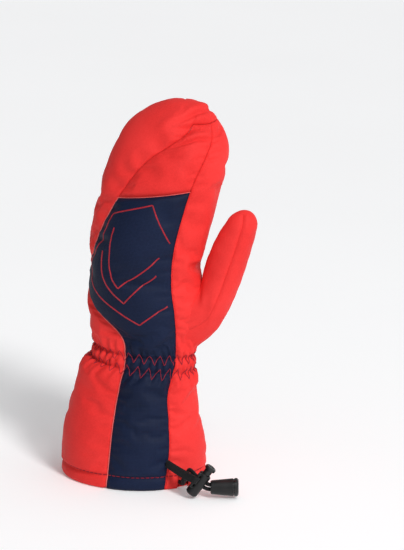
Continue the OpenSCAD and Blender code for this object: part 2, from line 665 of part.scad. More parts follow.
back_panel();
upper_back_panel();
ulnar_side_panel();
radial_side_panel();
palm_panel();
palm_cuff_panel();
hem_facing();
thumb_gusset();
thumb_back_panel();
thumb_palm_panel();
waterproof_insert();
hand_insulation();
thumb_insulation();
hand_lining();
thumb_lining();
gusset_lining();
cuff_lining();
wrist_elastic_lower();
wrist_elastic_upper();
wrist_stitching();
hem_stitching();
back_print();
side_label();
drawcord_loop();
drawcord_tail_a();
drawcord_tail_b();
cord_knot();
cord_end_bell();
cord_end_cap();
lock_webbing();
cord_lock_barrel();
cord_lock_button();
cord_lock_spring();
clip_webbing();
clip_plug();
clip_prong_a();
clip_prong_b();
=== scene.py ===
"""Looks of the junior ski mitten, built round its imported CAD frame. Metres, in the row frame."""

import math
import random

import bpy
import numpy as np
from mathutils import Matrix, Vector
from mathutils.kdtree import KDTree


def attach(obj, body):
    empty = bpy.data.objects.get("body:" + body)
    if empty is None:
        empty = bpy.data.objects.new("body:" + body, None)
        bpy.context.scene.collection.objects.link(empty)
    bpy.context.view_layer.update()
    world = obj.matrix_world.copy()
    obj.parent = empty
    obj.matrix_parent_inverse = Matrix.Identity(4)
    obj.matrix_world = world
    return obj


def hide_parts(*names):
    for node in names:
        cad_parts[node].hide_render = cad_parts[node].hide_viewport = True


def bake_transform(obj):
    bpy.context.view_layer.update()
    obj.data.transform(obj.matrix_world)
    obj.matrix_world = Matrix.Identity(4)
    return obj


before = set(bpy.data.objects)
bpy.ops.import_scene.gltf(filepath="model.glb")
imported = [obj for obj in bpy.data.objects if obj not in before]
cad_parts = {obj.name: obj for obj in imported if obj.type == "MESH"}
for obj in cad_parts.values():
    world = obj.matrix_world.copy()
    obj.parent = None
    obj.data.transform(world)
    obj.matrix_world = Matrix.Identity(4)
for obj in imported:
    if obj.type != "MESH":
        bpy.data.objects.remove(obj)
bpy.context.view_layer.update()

MM = 0.001
MM_PER_PX = 0.61  # the photo's scale on the mitten

# ---------------------------------------------------------------- camera
VIEW_AT = Vector((0.041, 0.011, 0.127))
VIEW_AZ, VIEW_EL = math.radians(15), math.radians(15)
VIEW_BACK = Vector((math.sin(VIEW_AZ) * math.cos(VIEW_EL),
                    -math.cos(VIEW_AZ) * math.cos(VIEW_EL), math.sin(VIEW_EL)))
cam_data = bpy.data.cameras.new("camera")
cam_data.lens = 150
cam_data.sensor_width = 36
cam = bpy.data.objects.new("camera", cam_data)
bpy.context.scene.collection.objects.link(cam)
bpy.context.scene.camera = cam
PICTURE_H = 0.3355
cam.location = VIEW_AT + VIEW_BACK * (PICTURE_H / 2 * cam_data.lens / (cam_data.sensor_width / 2))
cam.rotation_mode = "QUATERNION"
cam.rotation_quaternion = (-VIEW_BACK).to_track_quat("-Z", "Y")
cam_data.clip_end = 20

# ---------------------------------------------------------------- the part's own shape formulas, in mm
H = 233
CW, CD, WW, WD, HW, HD = 44.6, 34, 30.4, 21.5, 35, 26
RINGS = np.array([
    [0, 0, 0, CW, CD, 0],
    [0.1027 * H, 0, 0, 0.95 * CW, 0.94 * CD, -0.03],
    [0.1892 * H, 1.2, 0, 0.845 * CW, 0.825 * CD, -0.10],
    [0.2665 * H, 3.7, 0, 1.123 * WW, 1.146 * WD, -0.15],
    [0.3410 * H, 7, 0, WW, WD, -0.09],
    [0.4060 * H, 7.9, 0, 1.03 * WW, 1.05 * WD, -0.07],
    [0.4720 * H, 7.9, 0, 0.96 * HW, 0.92 * HD, -0.04],
    [0.5493 * H, 7.6, 0.3, 0.94 * HW, 0.96 * HD, 0],
    [0.6439 * H, 9.8, 1, 0.96 * HW, HD, 0.03],
    [0.7790 * H, 17.2, 4.4, HW, HD, 0.12],
    [0.8690 * H, 21.9, 8.6, 0.96 * HW, 0.9 * HD, 0.05],
    [0.9300 * H, 23.8, 12.4, 0.795 * HW, 0.71 * HD, 0],
    [0.9740 * H, 26, 15, 0.51 * HW, 0.46 * HD, 0],
    [H, 28.6, 17, 0, 0, 0],
    [0.9740 * H, 31.2, 19, -0.51 * HW, -0.46 * HD, 0]])
TIP = 13
SEAMS = np.array([
    [-100, -52, 40, 150], [-98, -46, 40, 150], [-98, -44, 48, 150], [-99, -46, 55, 148],
    [-101, -38, 50, 146], [-109, -40, 44, 144], [-150, -45, 42, 140], [-172, -47, 42, 138],
    [-152, -48, 42, 138], [-127, -47, 42, 138], [-103, -39, 42, 138], [-66, -24, 42, 138],
    [-50, -14, 42, 138], [-50, -14, 42, 138], [-50, -14, 42, 138]])
SHELL_ROWS = np.array([0, 0.33, 0.67, 1, 1.5, 2, 2.5, 3, 3.4, 3.8, 4.2, 4.6, 5, 5.5, 6, 6.5, 7, 7.5, 8,
                       8.5, 9, 9.5, 10, 10.5, 11, 11.5, 12, 12.5, TIP])
PER_PANEL, COLS = 8, 32
HEM_ROW, WRIST_ROW, KNUCKLE_ROW, CAP_ROW = 1, 11, 20, 25
SLOT_COL, HOLE_SHARE = 9, 0.62
SHELL_T = 0.8
THUMB = np.array([
    [43.8, 123.2, 46, 86, 2.4, 12], [44, 124.5, 52, 96, 2.8, 12.6],
    [44.1, 126, 57.4, 105, 3.2, 12.8], [44.3, 128, 61.5, 114, 3.6, 12.6],
    [44.8, 131, 65, 123, 4, 12.2], [46.5, 138, 68.7, 133.5, 4, 11.8],
    [50, 146.8, 72.2, 144, 4, 11.4], [54, 155.4, 75, 155.8, 3.8, 10.8],
    [58, 162.3, 76, 163.3, 3.6, 9.4], [62, 167.5, 73.8, 168.6, 3.4, 6.4],
    [68.3, 171, 68.3, 171, 3.2, 0], [73.8, 168.6, 62, 167.5, 3.4, -6.4]])
THUMB_TIP, THUMB_SEAM = 11, -68
THUMB_BASE, THUMB_REACH = (5.55, 2), (1.15, 28)
ELASTIC = (3.62, 4.12)
TAIL_A = [[37.6, -18.4, 4], [39.5, -22.2, 6.3], [41.2, -23.9, 9.8], [42.5, -26.3, 13.8],
          [45.3, -30.9, 15.7], [49.5, -34, 13.7], [53.4, -33.6, 10.8], [56.4, -32.6, 8.6],
          [59.4, -31.7, 8], [63, -30.7, 8]]
TAIL_B = [[35.4, -20.8, 4], [37.4, -23.6, 4.1], [39, -25.6, 5.1], [39.9, -28.7, 8.8],
          [44.1, -31.1, 12.5], [47.7, -34.5, 11.3], [50.8, -34.3, 9.2], [54.6, -33, 6.2],
          [57.8, -32.2, 5.3], [63, -30.7, 5.3]]
CORD_D = 2.5
LOCK_AT, LOCK_TURN, LOCK_LEAN, EAR_TURN, EAR_R = np.array([52, -33.7, 10.5]), 15, 37, 230, 6.4
LOCK_WEB_AT, LOCK_WEB_W, WEB_T = np.array([28.9, -26.2, 17]), 7.6, 1.1
CLIP_AT, CLIP_TURN, CLIP_LEAN, CLIP_BAR_Z = np.array([24.3, 22.1, 60]), 63, 10, -9


def spline(t, table):
    """Catmull-Rom curve through the rows of a table, at positions t."""
    table = np.asarray(table, float)
    t = np.asarray(t, float)
    i = np.clip(np.floor(t).astype(int), 0, len(table) - 2)
    f = (t - i)[..., None]
    b, c = table[i], table[i + 1]
    a = np.where((i > 0)[..., None], table[np.maximum(i - 1, 0)], 2 * b - c)
    d = np.where((i + 2 < len(table))[..., None], table[np.minimum(i + 2, len(table) - 1)], 2 * c - b)
    return 0.5 * (2 * b + (c - a) * f + (2 * a - 5 * b + 4 * c - d) * f ** 2
                  + (3 * b - a - 3 * c + d) * f ** 3)


def unit(v):
    return v / np.maximum(np.linalg.norm(v, axis=-1, keepdims=True), 1e-12)


def cosd(a):
    return np.cos(np.radians(a))


def sind(a):
    return np.sin(np.radians(a))


def arc_of(path):
    """Length along a path from its start to each of its points."""
    return np.concatenate([[0], np.cumsum(np.linalg.norm(np.diff(path, axis=0), axis=1))])


def skin(s, th):
    s, th = np.broadcast_arrays(np.asarray(s, float), np.asarray(th, float))
    r = spline(s, RINGS)
    x, y = r[..., 3] * cosd(th), r[..., 4] * sind(th)
    return np.stack([r[..., 1] + x, r[..., 2] + y, r[..., 0] + r[..., 5] * x], -1)


def skin_out(s, th):
    s, th = np.broadcast_arrays(np.asarray(s, float), np.asarray(th, float))
    top = np.minimum(s, TIP - 0.02)
    up = skin(top + 0.01, th) - skin(np.maximum(top - 0.01, 0), th)
    n = unit(np.cross(skin(top, th + 1) - skin(top, th - 1), up))
    n[..., 2] = np.where(s <= 0, 0, n[..., 2])
    return unit(n)


def column_angle(s, c):
    s, c = np.broadcast_arrays(np.asarray(s, float), np.asarray(c, float))
    k = spline(s, SEAMS)
    edge = np.concatenate([k, k[..., :1] + 360], -1)
    w = np.mod(c, COLS)
    i = np.clip(np.floor(w / PER_PANEL).astype(int), 0, 3)
    lo = np.take_along_axis(edge, i[..., None], -1)[..., 0]
    hi = np.take_along_axis(edge, i[..., None] + 1, -1)[..., 0]
    return lo + (hi - lo) * (w / PER_PANEL - i)


def any_way(r):
    """A random direction."""
    return unit(np.array([r.gauss(0, 1), r.gauss(0, 1), r.gauss(0, 1)]))


def rot_z(v, a):
    return np.stack([v[..., 0] * cosd(a) - v[..., 1] * sind(a),
                     v[..., 0] * sind(a) + v[..., 1] * cosd(a), v[..., 2]], -1)


def rot_y(v, a):
    return np.stack([v[..., 0] * cosd(a) + v[..., 2] * sind(a), v[..., 1],
                     v[..., 2] * cosd(a) - v[..., 0] * sind(a)], -1)


def from_lock(v):
    return LOCK_AT + rot_z(rot_y(np.asarray(v, float), LOCK_LEAN), LOCK_TURN)


def from_clip(v):
    return CLIP_AT + rot_z(rot_y(np.asarray(v, float), -CLIP_LEAN), CLIP_TURN)


# ---------------------------------------------------------------- mesh helpers
def new_mesh(name, verts, faces, material=None, uv=None, smooth=True):
    """Mesh object from points in mm. uv is one (u, v) in metres for each vertex."""
    mesh = bpy.data.meshes.new(name)
    mesh.from_pydata([tuple(p) for p in np.asarray(verts, float) * MM], [],
                     [tuple(map(int, f)) for f in faces])
    if uv is not None:
        layer = mesh.uv_layers.new(name="cloth")
        index = np.zeros(len(mesh.loops), int)
        mesh.loops.foreach_get("vertex_index", index)
        layer.data.foreach_set("uv", np.asarray(uv, np.float32)[index].ravel())
    mesh.polygons.foreach_set("use_smooth", [smooth] * len(mesh.polygons))
    mesh.update()
    o = bpy.data.objects.new(name, mesh)
    bpy.context.scene.collection.objects.link(o)
    if material is not None:
        mesh.materials.append(material)
    return o


def ring_faces(count, n, ring=False):
    """Faces between count rings of n points, joined up or closed at both ends."""
    faces = [(i * n + k, i * n + (k + 1) % n, (i + 1) % count * n + (k + 1) % n, (i + 1) % count * n + k)
             for i in range(count if ring else count - 1) for k in range(n)]
    if not ring:
        faces += [tuple(range(n))[::-1], tuple((count - 1) * n + k for k in range(n))]
    return faces


def on_hand(o, nodes):
    """Puts a piece on the hand's body, in place of its CAD nodes."""
    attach(o, "hand")
    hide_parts(*nodes)


def sleeve_faces(rows, cols):
    """Faces of a sleeve with an outer and an inner wall, closed along both its edges."""
    n = rows * cols
    faces = []
    for i in range(rows - 1):
        for j in range(cols):
            a, b = i * cols + j, i * cols + (j + 1) % cols
            faces += [(a, b, b + cols, a + cols), (n + b, n + a, n + a + cols, n + b + cols)]
    for j in range(cols):
        a, b = j, (j + 1) % cols
        faces.append((b, a, n + a, n + b))
        a, b = a + n - cols, b + n - cols
        faces.append((a, b, n + b, n + a))
    return faces


def picked_points(cell):
    """Grid points of the picked cells. A picked last row keeps one point, the pole that closes it."""
    rows = len(cell)
    used = np.zeros((rows + 1, cell.shape[1]), bool)
    for down in (0, 1):
        for side in (0, 1):
            used[down:rows + down] |= np.roll(cell, side, 1)
    if cell[-1].any():
        used[-1] = False
        used[-1, 0] = True
    return used


def closed_piece(cell, outer, inner, u, v):
    """Vertices, faces and UVs of the picked cells' two faces, with a rim round them."""
    used = picked_points(cell)
    n = used.sum()
    ids = -np.ones(used.shape, int)
    ids[used] = np.arange(n)
    if cell[-1].any():
        ids[-1] = ids[-1, 0]
    faces = []
    for r, c in zip(*np.nonzero(cell)):
        d = (c + 1) % cell.shape[1]
        a0, a1, b0, b1 = ids[r, c], ids[r, d], ids[r + 1, c], ids[r + 1, d]
        if b0 == b1:
            faces += [(a0, a1, b0), (n + a1, n + a0, n + b0)]
        else:
            faces += [(a0, a1, b1, b0), (n + a1, n + a0, n + b0, n + b1)]
        if not cell[r, c - 1]:
            faces.append((a0, b0, n + b0, n + a0))
        if not cell[r, d]:
            faces.append((b1, a1, n + a1, n + b1))
        if r == 0 or not cell[r - 1, c]:
            faces.append((a1, a0, n + a0, n + a1))
        if r + 1 < len(cell) and not cell[r + 1, c]:
            faces.append((b0, b1, n + b1, n + b0))
    uv = np.stack([u, v], -1)[used] * MM
    return np.concatenate([outer[used], inner[used]]), faces, np.concatenate([uv, uv])


def frames(path, ring=False):
    """Unit tangents and two unit normals along a path, turned as little as possible."""
    path = np.asarray(path, float)
    t = unit(np.roll(path, -1, 0) - np.roll(path, 1, 0)) if ring else unit(np.gradient(path, axis=0))
    u = np.zeros_like(t)
    first = np.cross(t[0], [0, 0, 1])
    u[0] = unit(first if np.linalg.norm(first) > 0.05 else np.cross(t[0], [0, 1, 0]))
    for i in range(1, len(path)):
        u[i] = unit(u[i - 1] - (u[i - 1] @ t[i]) * t[i])
    return t, u, np.cross(u, t)


def sweep(name, path, radius, sides=12, material=None, ring=False, wave=None):
    """Tube along a path in mm. radius may vary along it, and wave(i, angles) scales it round."""
    path = np.asarray(path, float)
    n = len(path)
    t, u, v = frames(path, ring)
    radius = np.broadcast_to(np.asarray(radius, float), n)
    ang = np.arange(sides) * 2 * math.pi / sides
    along = arc_of(path)
    verts, uv = [], []
    for i in range(n):
        r = radius[i] * (wave(along[i], ang) if wave else np.ones(sides))
        verts.append(path[i] + r[:, None] * (np.cos(ang)[:, None] * u[i] + np.sin(ang)[:, None] * v[i]))
        uv.append(np.stack([ang * radius[i], np.full(sides, along[i])], -1))
    return new_mesh(name, np.concatenate(verts), ring_faces(n, sides, ring), material,
                    np.concatenate(uv) * MM)


def along_route(route, steps):
    return spline(np.linspace(0, len(route) - 1, steps + 1), route)


def even(path, step):
    """A path's points again, at even steps."""
    path = np.asarray(path, float)
    s = arc_of(path)
    n = max(2, int(round(s[-1] / step)) + 1)
    at = np.linspace(0, s[-1], n)
    return np.stack([np.interp(at, s, path[:, k]) for k in range(3)], -1)


# ---------------------------------------------------------------- materials
INPUTS = {"color": "Base Color", "rough": "Roughness", "normal": "Normal", "metal": "Metallic",
          "sheen": "Sheen Weight", "sheen_rough": "Sheen Roughness", "sheen_tint": "Sheen Tint",
          "gloss": "Specular IOR Level", "glow": "Emission Color", "glow_strength": "Emission Strength"}


class Nodes:
    """A node material, with short calls for what the fabrics and plastics share."""

    def __init__(self, name):
        self.mat = bpy.data.materials.new(name)
        self.mat.use_nodes = True
        self.t = self.mat.node_tree
        self.bsdf = self.t.nodes["Principled BSDF"]

    def add(self, kind, **props):
        n = self.t.nodes.new(kind)
        for k, v in props.items():
            setattr(n, k, v)
        return n

    def put(self, socket, value):
        if isinstance(value, bpy.types.NodeSocket):
            self.t.links.new(value, socket)
        else:
            socket.default_value = value

    def coords(self, cloth):
        if cloth:
            return self.add("ShaderNodeUVMap", uv_map="cloth").outputs["UV"]
        return self.add("ShaderNodeTexCoord").outputs["Object"]

    def noise(self, vec, scale, detail=3.0, rough=0.5):
        n = self.add("ShaderNodeTexNoise")
        for name, value in (("Vector", vec), ("Scale", scale), ("Detail", detail), ("Roughness", rough)):
            self.put(n.inputs[name], value)
        return n.outputs["Fac"]

    def math(self, op, a, b=0.0, clamp=False):
        n = self.add("ShaderNodeMath", operation=op, use_clamp=clamp)
        self.put(n.inputs[0], a)
        self.put(n.inputs[1], b)
        return n.outputs[0]

    def ramp(self, fac, stops):
        n = self.add("ShaderNodeValToRGB")
        self.put(n.inputs["Fac"], fac)
        e = n.color_ramp.elements
        e[0].position, e[0].color = stops[0][0], (*stops[0][1], 1)
        e[1].position, e[1].color = stops[-1][0], (*stops[-1][1], 1)
        for pos, col in stops[1:-1]:
            x = e.new(pos)
            x.color = (*col, 1)
        return n.outputs["Color"]

    def axes(self, vec):
        n = self.add("ShaderNodeSeparateXYZ")
        self.put(n.inputs[0], vec)
        return n.outputs

    def surface(self, **values):
        """Sets or links the shader's inputs, by their short names, and returns the material."""
        for name, value in values.items():
            self.put(self.bsdf.inputs[INPUTS[name]], value)
        return self.mat

    def bump(self, height, strength, distance, normal=None):
        n = self.add("ShaderNodeBump")
        for name, value in (("Strength", strength), ("Distance", distance), ("Height", height)):
            self.put(n.inputs[name], value)
        if normal is not None:
            self.put(n.inputs["Normal"], normal)
        return n.outputs["Normal"]

    def mix(self, fac, a, b, blend="MIX"):
        n = self.add("ShaderNodeMix", data_type="RGBA", blend_type=blend)
        self.put(n.inputs["Factor"], fac)
        self.put(n.inputs["A"], a)
        self.put(n.inputs["B"], b)
        return n.outputs["Result"]


def weave(n, uv, pitch):
    """Height of a woven cloth with threads pitch metres apart, from 0 to 1."""
    x, y, _ = n.axes(uv)
    across, along = (n.math("SINE", n.math("MULTIPLY", a, 2 * math.pi / pitch)) for a in (x, y))
    return n.math("ADD", n.math("MULTIPLY", n.math("MULTIPLY", across, along), 0.5), 0.5)


def cloth_material(name, dark, mid, light, pitch, rough, sheen=0.3, ribstop=None, bump=0.25, grain=0.0,
                   gloss=0.28):
    """Woven cloth: weave relief, faded and shaded areas, sheen, and lint-like fine variation."""
    n = Nodes(name)
    uv = n.coords(True)
    obj = n.coords(False)
    h = weave(n, uv, pitch)
    broad = n.noise(obj, 22, 4, 0.55)
    fine = n.noise(obj, 900, 2, 0.6)
    tone = n.math("ADD", n.math("MULTIPLY", broad, 0.62),
                  n.math("ADD", n.math("MULTIPLY", fine, 0.22), n.math("MULTIPLY", h, 0.16)))
    color = n.ramp(tone, [(0.28, dark), (0.5, mid), (0.74, light)])
    height = n.math("ADD", h, n.math("MULTIPLY", fine, 0.6))
    if ribstop:
        x, y, _ = n.axes(uv)
        lines = None
        for a in (x, y):
            saw = n.math("PINGPONG", n.math("ADD", a, 10.0), ribstop / 2)
            line = n.math("LESS_THAN", saw, ribstop * 0.06)
            lines = line if lines is None else n.math("MAXIMUM", lines, line)
        color = n.mix(n.math("MULTIPLY", lines, 0.16), color, (*light, 1))
        height = n.math("ADD", height, n.math("MULTIPLY", lines, 1.3))
    if grain:
        v = n.add("ShaderNodeTexVoronoi", feature="F1")
        n.put(v.inputs["Vector"], obj)
        v.inputs["Scale"].default_value = grain
        height = n.math("ADD", height, n.math("MULTIPLY", v.outputs["Distance"], 2.2))
    crumple = n.bump(n.noise(obj, 95, 4, 0.6), 0.22, 0.0009)
    return n.surface(color=color, rough=n.math("ADD", n.math("MULTIPLY", broad, 0.14), rough - 0.07),
                     normal=n.bump(height, bump, 0.00012, crumple), sheen=sheen, sheen_rough=0.45,
                     sheen_tint=(*[min(1, 0.35 + 0.65 * c) for c in light], 1), gloss=gloss)


def webbing_material(name, dark, light, pitch=0.0011, gloss=0.3):
    """Woven narrow webbing or braid: slanted ribs and picks."""
    n = Nodes(name)
    uv = n.coords(True)
    x, y, _ = n.axes(uv)
    a = n.math("SINE", n.math("MULTIPLY", n.math("ADD", x, y), 2 * math.pi / pitch))
    b = n.math("SINE", n.math("MULTIPLY", n.math("SUBTRACT", x, y), 2 * math.pi / pitch))
    h = n.math("ADD", n.math("MULTIPLY", n.math("MAXIMUM", a, b), 0.5), 0.5)
    fine = n.noise(n.coords(False), 2500, 2, 0.6)
    tone = n.math("ADD", n.math("MULTIPLY", h, 0.6), n.math("MULTIPLY", fine, 0.4))
    return n.surface(color=n.ramp(tone, [(0.2, dark), (0.85, light)]),
                     rough=n.math("ADD", n.math("MULTIPLY", fine, 0.2), 0.5),
                     normal=n.bump(n.math("ADD", h, n.math("MULTIPLY", fine, 0.3)), 0.7, 0.00016),
                     sheen=0.04, gloss=gloss)


def plastic_material(name, dark, light, rough, grain, strength, gloss=0.4):
    """Moulded plastic: fine moulded texture, faint scuffs and uneven gloss."""
    n = Nodes(name)
    obj = n.coords(False)
    scuff = n.noise(obj, 260, 6, 0.65)
    tex = n.noise(obj, grain, 3, 0.6)
    return n.surface(color=n.ramp(scuff, [(0.3, dark), (0.72, light)]),
                     rough=n.math("ADD", n.math("MULTIPLY", scuff, 0.25), rough - 0.12),
                     normal=n.bump(tex, strength, 0.00008), gloss=gloss)


def metal_material(name):
    n = Nodes(name)
    lines = n.noise(n.coords(False), 1800, 2, 0.5)
    return n.surface(color=n.ramp(lines, [(0.3, (0.42, 0.42, 0.44)), (0.7, (0.7, 0.7, 0.72))]),
                     rough=n.math("ADD", n.math("MULTIPLY", lines, 0.2), 0.2), metal=1,
                     normal=n.bump(lines, 0.15, 0.00005))


def fleece_material(name, dark, light, scale):
    """Brushed lining, wadding or film: soft tufts."""
    n = Nodes(name)
    tuft = n.noise(n.coords(False), scale, 5, 0.7)
    return n.surface(color=n.ramp(tuft, [(0.3, dark), (0.7, light)]),
                     rough=n.math("ADD", n.math("MULTIPLY", tuft, 0.2), 0.75),
                     normal=n.bump(tuft, 0.8, 0.0006), sheen=0.4)


RED = cloth_material("red_nylon", (0.62, 0.020, 0.018), (0.79, 0.034, 0.031), (0.86, 0.050, 0.046),
                     0.00045, 0.6, 0.03, gloss=0.12)
NAVY = cloth_material("navy_ribstop", (0.0030, 0.0065, 0.022), (0.0045, 0.0100, 0.034),
                      (0.0100, 0.0190, 0.056), 0.00045, 0.6, 0.03, ribstop=0.0026, gloss=0.14)
PALM = cloth_material("palm_grip", (0.003, 0.003, 0.0035), (0.007, 0.007, 0.008), (0.016, 0.016, 0.018),
                      0.0007, 0.5, 0.05, bump=0.5, grain=1300, gloss=0.25)
# Lighter pink-red for the folded seam edges: a painted highlight of light along the fold, on the same red
# nylon.
PAINTED_EDGE_HIGHLIGHT = cloth_material("red_edge_painted_highlight", (0.62, 0.05, 0.05), (0.80, 0.14, 0.13), (0.90, 0.24, 0.22),
                        0.0004, 0.6, 0.2)
THREAD = webbing_material("thread", (0.20, 0.008, 0.016), (0.42, 0.022, 0.042), 0.0005, 0.12)
PRINT = plastic_material("raised_print", (0.24, 0.008, 0.016), (0.46, 0.018, 0.032), 0.45, 900, 0.3, 0.25)
WEBBING = webbing_material("webbing", (0.003, 0.003, 0.0033), (0.016, 0.016, 0.017), 0.0012, 0.15)
LABEL = webbing_material("label_weave", (0.004, 0.004, 0.005), (0.022, 0.022, 0.024), 0.0008, 0.15)
CORD = webbing_material("braid", (0.002, 0.002, 0.0023), (0.012, 0.012, 0.013), 0.0010, 0.15)
SATIN = plastic_material("satin_plastic", (0.003, 0.003, 0.0033), (0.009, 0.009, 0.010), 0.42, 2200, 0.25)
GLOSS = plastic_material("gloss_plastic", (0.003, 0.003, 0.0033), (0.008, 0.008, 0.009), 0.28, 900, 0.08, 0.5)
STEEL = metal_material("spring_wire")
LINING = fleece_material("lining_fleece", (0.010, 0.010, 0.011), (0.045, 0.045, 0.05), 900)
WADDING = fleece_material("wadding", (0.72, 0.72, 0.71), (0.9, 0.9, 0.89), 320)
FILM = fleece_material("membrane", (0.62, 0.64, 0.66), (0.75, 0.77, 0.8), 60)
ELASTIC_MAT = webbing_material("elastic_weave", (0.55, 0.54, 0.50), (0.80, 0.79, 0.75), 0.0011)

# ---------------------------------------------------------------- drawcord tails


def braid(at, ang):
    """Crossed ridges of a braided cord."""
    turn = 2 * math.pi * at / 3.4
    return 0.955 + 0.045 * np.maximum(np.sin(4 * ang + 2 * turn), np.sin(4 * ang - 2 * turn))


def lock_exit_blend(obj):
    """Bakes the tail's placement into its mesh."""
    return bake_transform(obj)


cords = []
for tag, route in (("a", TAIL_A), ("b", TAIL_B)):
    line = even(along_route(route, 300), 0.28)
    tail = sweep("cord_tail_" + tag, line, CORD_D / 2, 16, CORD, wave=braid)
    length = float(np.linalg.norm(np.diff(line, axis=0), axis=1).sum())
    cords.append((tail, route, line, length, tag))

# ---------------------------------------------------------------- outer fabric: fine grid and relief
KR, KC = 8, 6
FR, FC = (len(SHELL_ROWS) - 1) * KR, COLS * KC
row_s = np.interp(np.arange(FR + 1) / KR, np.arange(len(SHELL_ROWS)), SHELL_ROWS)
col_c = np.arange(FC) / KC
S, C = np.meshgrid(row_s, col_c, indexing="ij")
TH = column_angle(S, C)
P0 = skin(S, TH)
N0 = skin_out(S, TH)
N0[-1] = unit(np.array([RINGS[TIP][1] - RINGS[TIP - 1][1], RINGS[TIP][2] - RINGS[TIP - 1][2],
                        RINGS[TIP][0] - RINGS[TIP - 1][0]]))
round_arc = np.linalg.norm(np.roll(P0, -1, 1) - P0, axis=-1)
U_ARC = np.concatenate([np.zeros((FR + 1, 1)), np.cumsum(round_arc, 1)[:, :-1]], 1)
V_ARC = np.concatenate([np.zeros((1, FC)), np.cumsum(np.linalg.norm(np.diff(P0, axis=0), axis=-1), 0)], 0)
U_ARC = U_ARC - U_ARC[:, [FC // 8]]
# each point's place in the photo's picture, in its pixels
PX = 132.5 + (0.966 * P0[..., 0] + 0.259 * P0[..., 1]) / MM_PER_PX
PY = 475.9 - 1.583 * P0[..., 2] + 0.424 * (0.259 * P0[..., 0] - 0.966 * P0[..., 1])
FACING = N0 @ np.array(VIEW_BACK)


def distance_to(points, grid):
    """Distance in mm from each point of a grid to the nearest of some points."""
    tree = KDTree(len(points))
    for i, p in enumerate(points):
        tree.insert(Vector(p), i)
    tree.balance()
    return np.array([tree.find(Vector(p))[2] for p in grid.reshape(-1, 3)]).reshape(grid.shape[:2])


def line_points(s, c):
    return skin(s, column_angle(s, c)).reshape(-1, 3)


CAP_S, KNUCKLE_S, WRIST_S = SHELL_ROWS[CAP_ROW], SHELL_ROWS[KNUCKLE_ROW], SHELL_ROWS[WRIST_ROW]
up_s = np.linspace(0, CAP_S, 700)
seam_pts = np.concatenate([line_points(up_s, np.full(700, c)) for c in (0, 8, 16, 24)] + [
    line_points(np.full(120, CAP_S), np.linspace(0, 8, 120)),
    line_points(np.full(120, CAP_S), np.linspace(16, 24, 120)),
    line_points(np.full(140, KNUCKLE_S), np.linspace(0, 8, 140)),
    line_points(np.full(140, WRIST_S), np.linspace(16, 24, 140))])
SEAM_D = distance_to(seam_pts, P0)


def smooth_step(x, lo, hi):
    t = np.clip((x - lo) / (hi - lo), 0, 1)
    return t * t * (3 - 2 * t)


def waves(seed, count, lo, hi):
    """Smooth random relief from -1 to 1 with wavelengths of lo to hi mm."""
    r = random.Random(seed)
    total = np.zeros(P0.shape[:2])
    for _ in range(count):
        d = any_way(r)
        k = 2 * math.pi / r.uniform(lo, hi)
        total += np.sin(P0 @ d * k + r.uniform(0, 6.28) + 1.3 * np.sin(P0 @ unit(np.roll(d, 1)) * k * 0.6))
    return total / count ** 0.5 / 1.6


def crease(p, q, width, start_fade=0.15, end_fade=0.3, bend=0.0):
    """Relief of a tuck along a line in the picture's plane: a sharp valley with a soft ridge beside it."""
    p, q = np.array(p, float), np.array(q, float)
    d = q - p
    length = np.linalg.norm(d)
    ux, uy = d / length
    ax = ((PX - p[0]) * ux + (PY - p[1]) * uy) / length
    off = (-(PX - p[0]) * uy + (PY - p[1]) * ux) - bend * 4 * ax * (1 - ax)
    fade = smooth_step(ax, -start_fade, start_fade) * (1 - smooth_step(ax, 1 - end_fade, 1 + end_fade * 0.3))
    fade = fade * (FACING > 0.05)
    off = off * MM_PER_PX
    return fade * (-np.exp(-(off / width) ** 2) + 0.85 * np.exp(-((off - 2.4 * width) / (1.9 * width)) ** 2)
                   + 0.5 * np.exp(-((off + 2.2 * width) / (1.8 * width)) ** 2))


ANG = TH % 360
elastic_v = [np.array([np.interp(e, row_s, V_ARC[:, j]) for j in range(FC)]) for e in ELASTIC]
elastic_mid = (elastic_v[0] + elastic_v[1])[None, :] / 2
above = V_ARC - elastic_v[1][None, :]
below = elastic_v[0][None, :] - V_ARC
between_rows = (above < 0) & (below < 0)


def fold_wave(count, seed, jitter, lean=0.0):
    """Uneven folds right round the wrist, as a height from 0 in a sharp valley to 1 on a round ridge."""
    r = random.Random(seed)
    edges = np.cumsum([1 + r.uniform(-jitter, jitter) for _ in range(count)])
    edges = edges / edges[-1] * 360
    tops = [r.uniform(0.55, 1) for _ in range(count)]
    a = np.mod(ANG + 40 + lean * (V_ARC - elastic_mid), 360)
    i = np.clip(np.searchsorted(edges, a.ravel(), side="right").reshape(a.shape), 0, count - 1)
    lo = np.concatenate([[0], edges[:-1]])[i]
    t = (a - lo) / (edges[i] - lo)
    return np.array(tops)[i] * (1 - np.abs(2 * t - 1) ** 2.0)


fold_fine = fold_wave(50, 3, 0.35)
fold_mid = fold_wave(44, 4, 0.4)
fold_up = fold_wave(40, 14, 0.45, 0.5)
fold_down = fold_wave(36, 15, 0.45, -0.45)
fold_wide = fold_wave(15, 5, 0.4)
fold_reach = 0.5 + 0.9 * fold_wave(21, 9, 0.4)
NAVY_SIDE = (C < PER_PANEL).astype(float)
gap_mm = np.maximum(elastic_v[1] - elastic_v[0], 1)
up_mm = np.maximum(above, 0)
down_mm = np.maximum(below, 0)
row_dip = 0.55 * (np.exp(-(above / 1.5) ** 2) + np.exp(-(below / 1.5) ** 2))
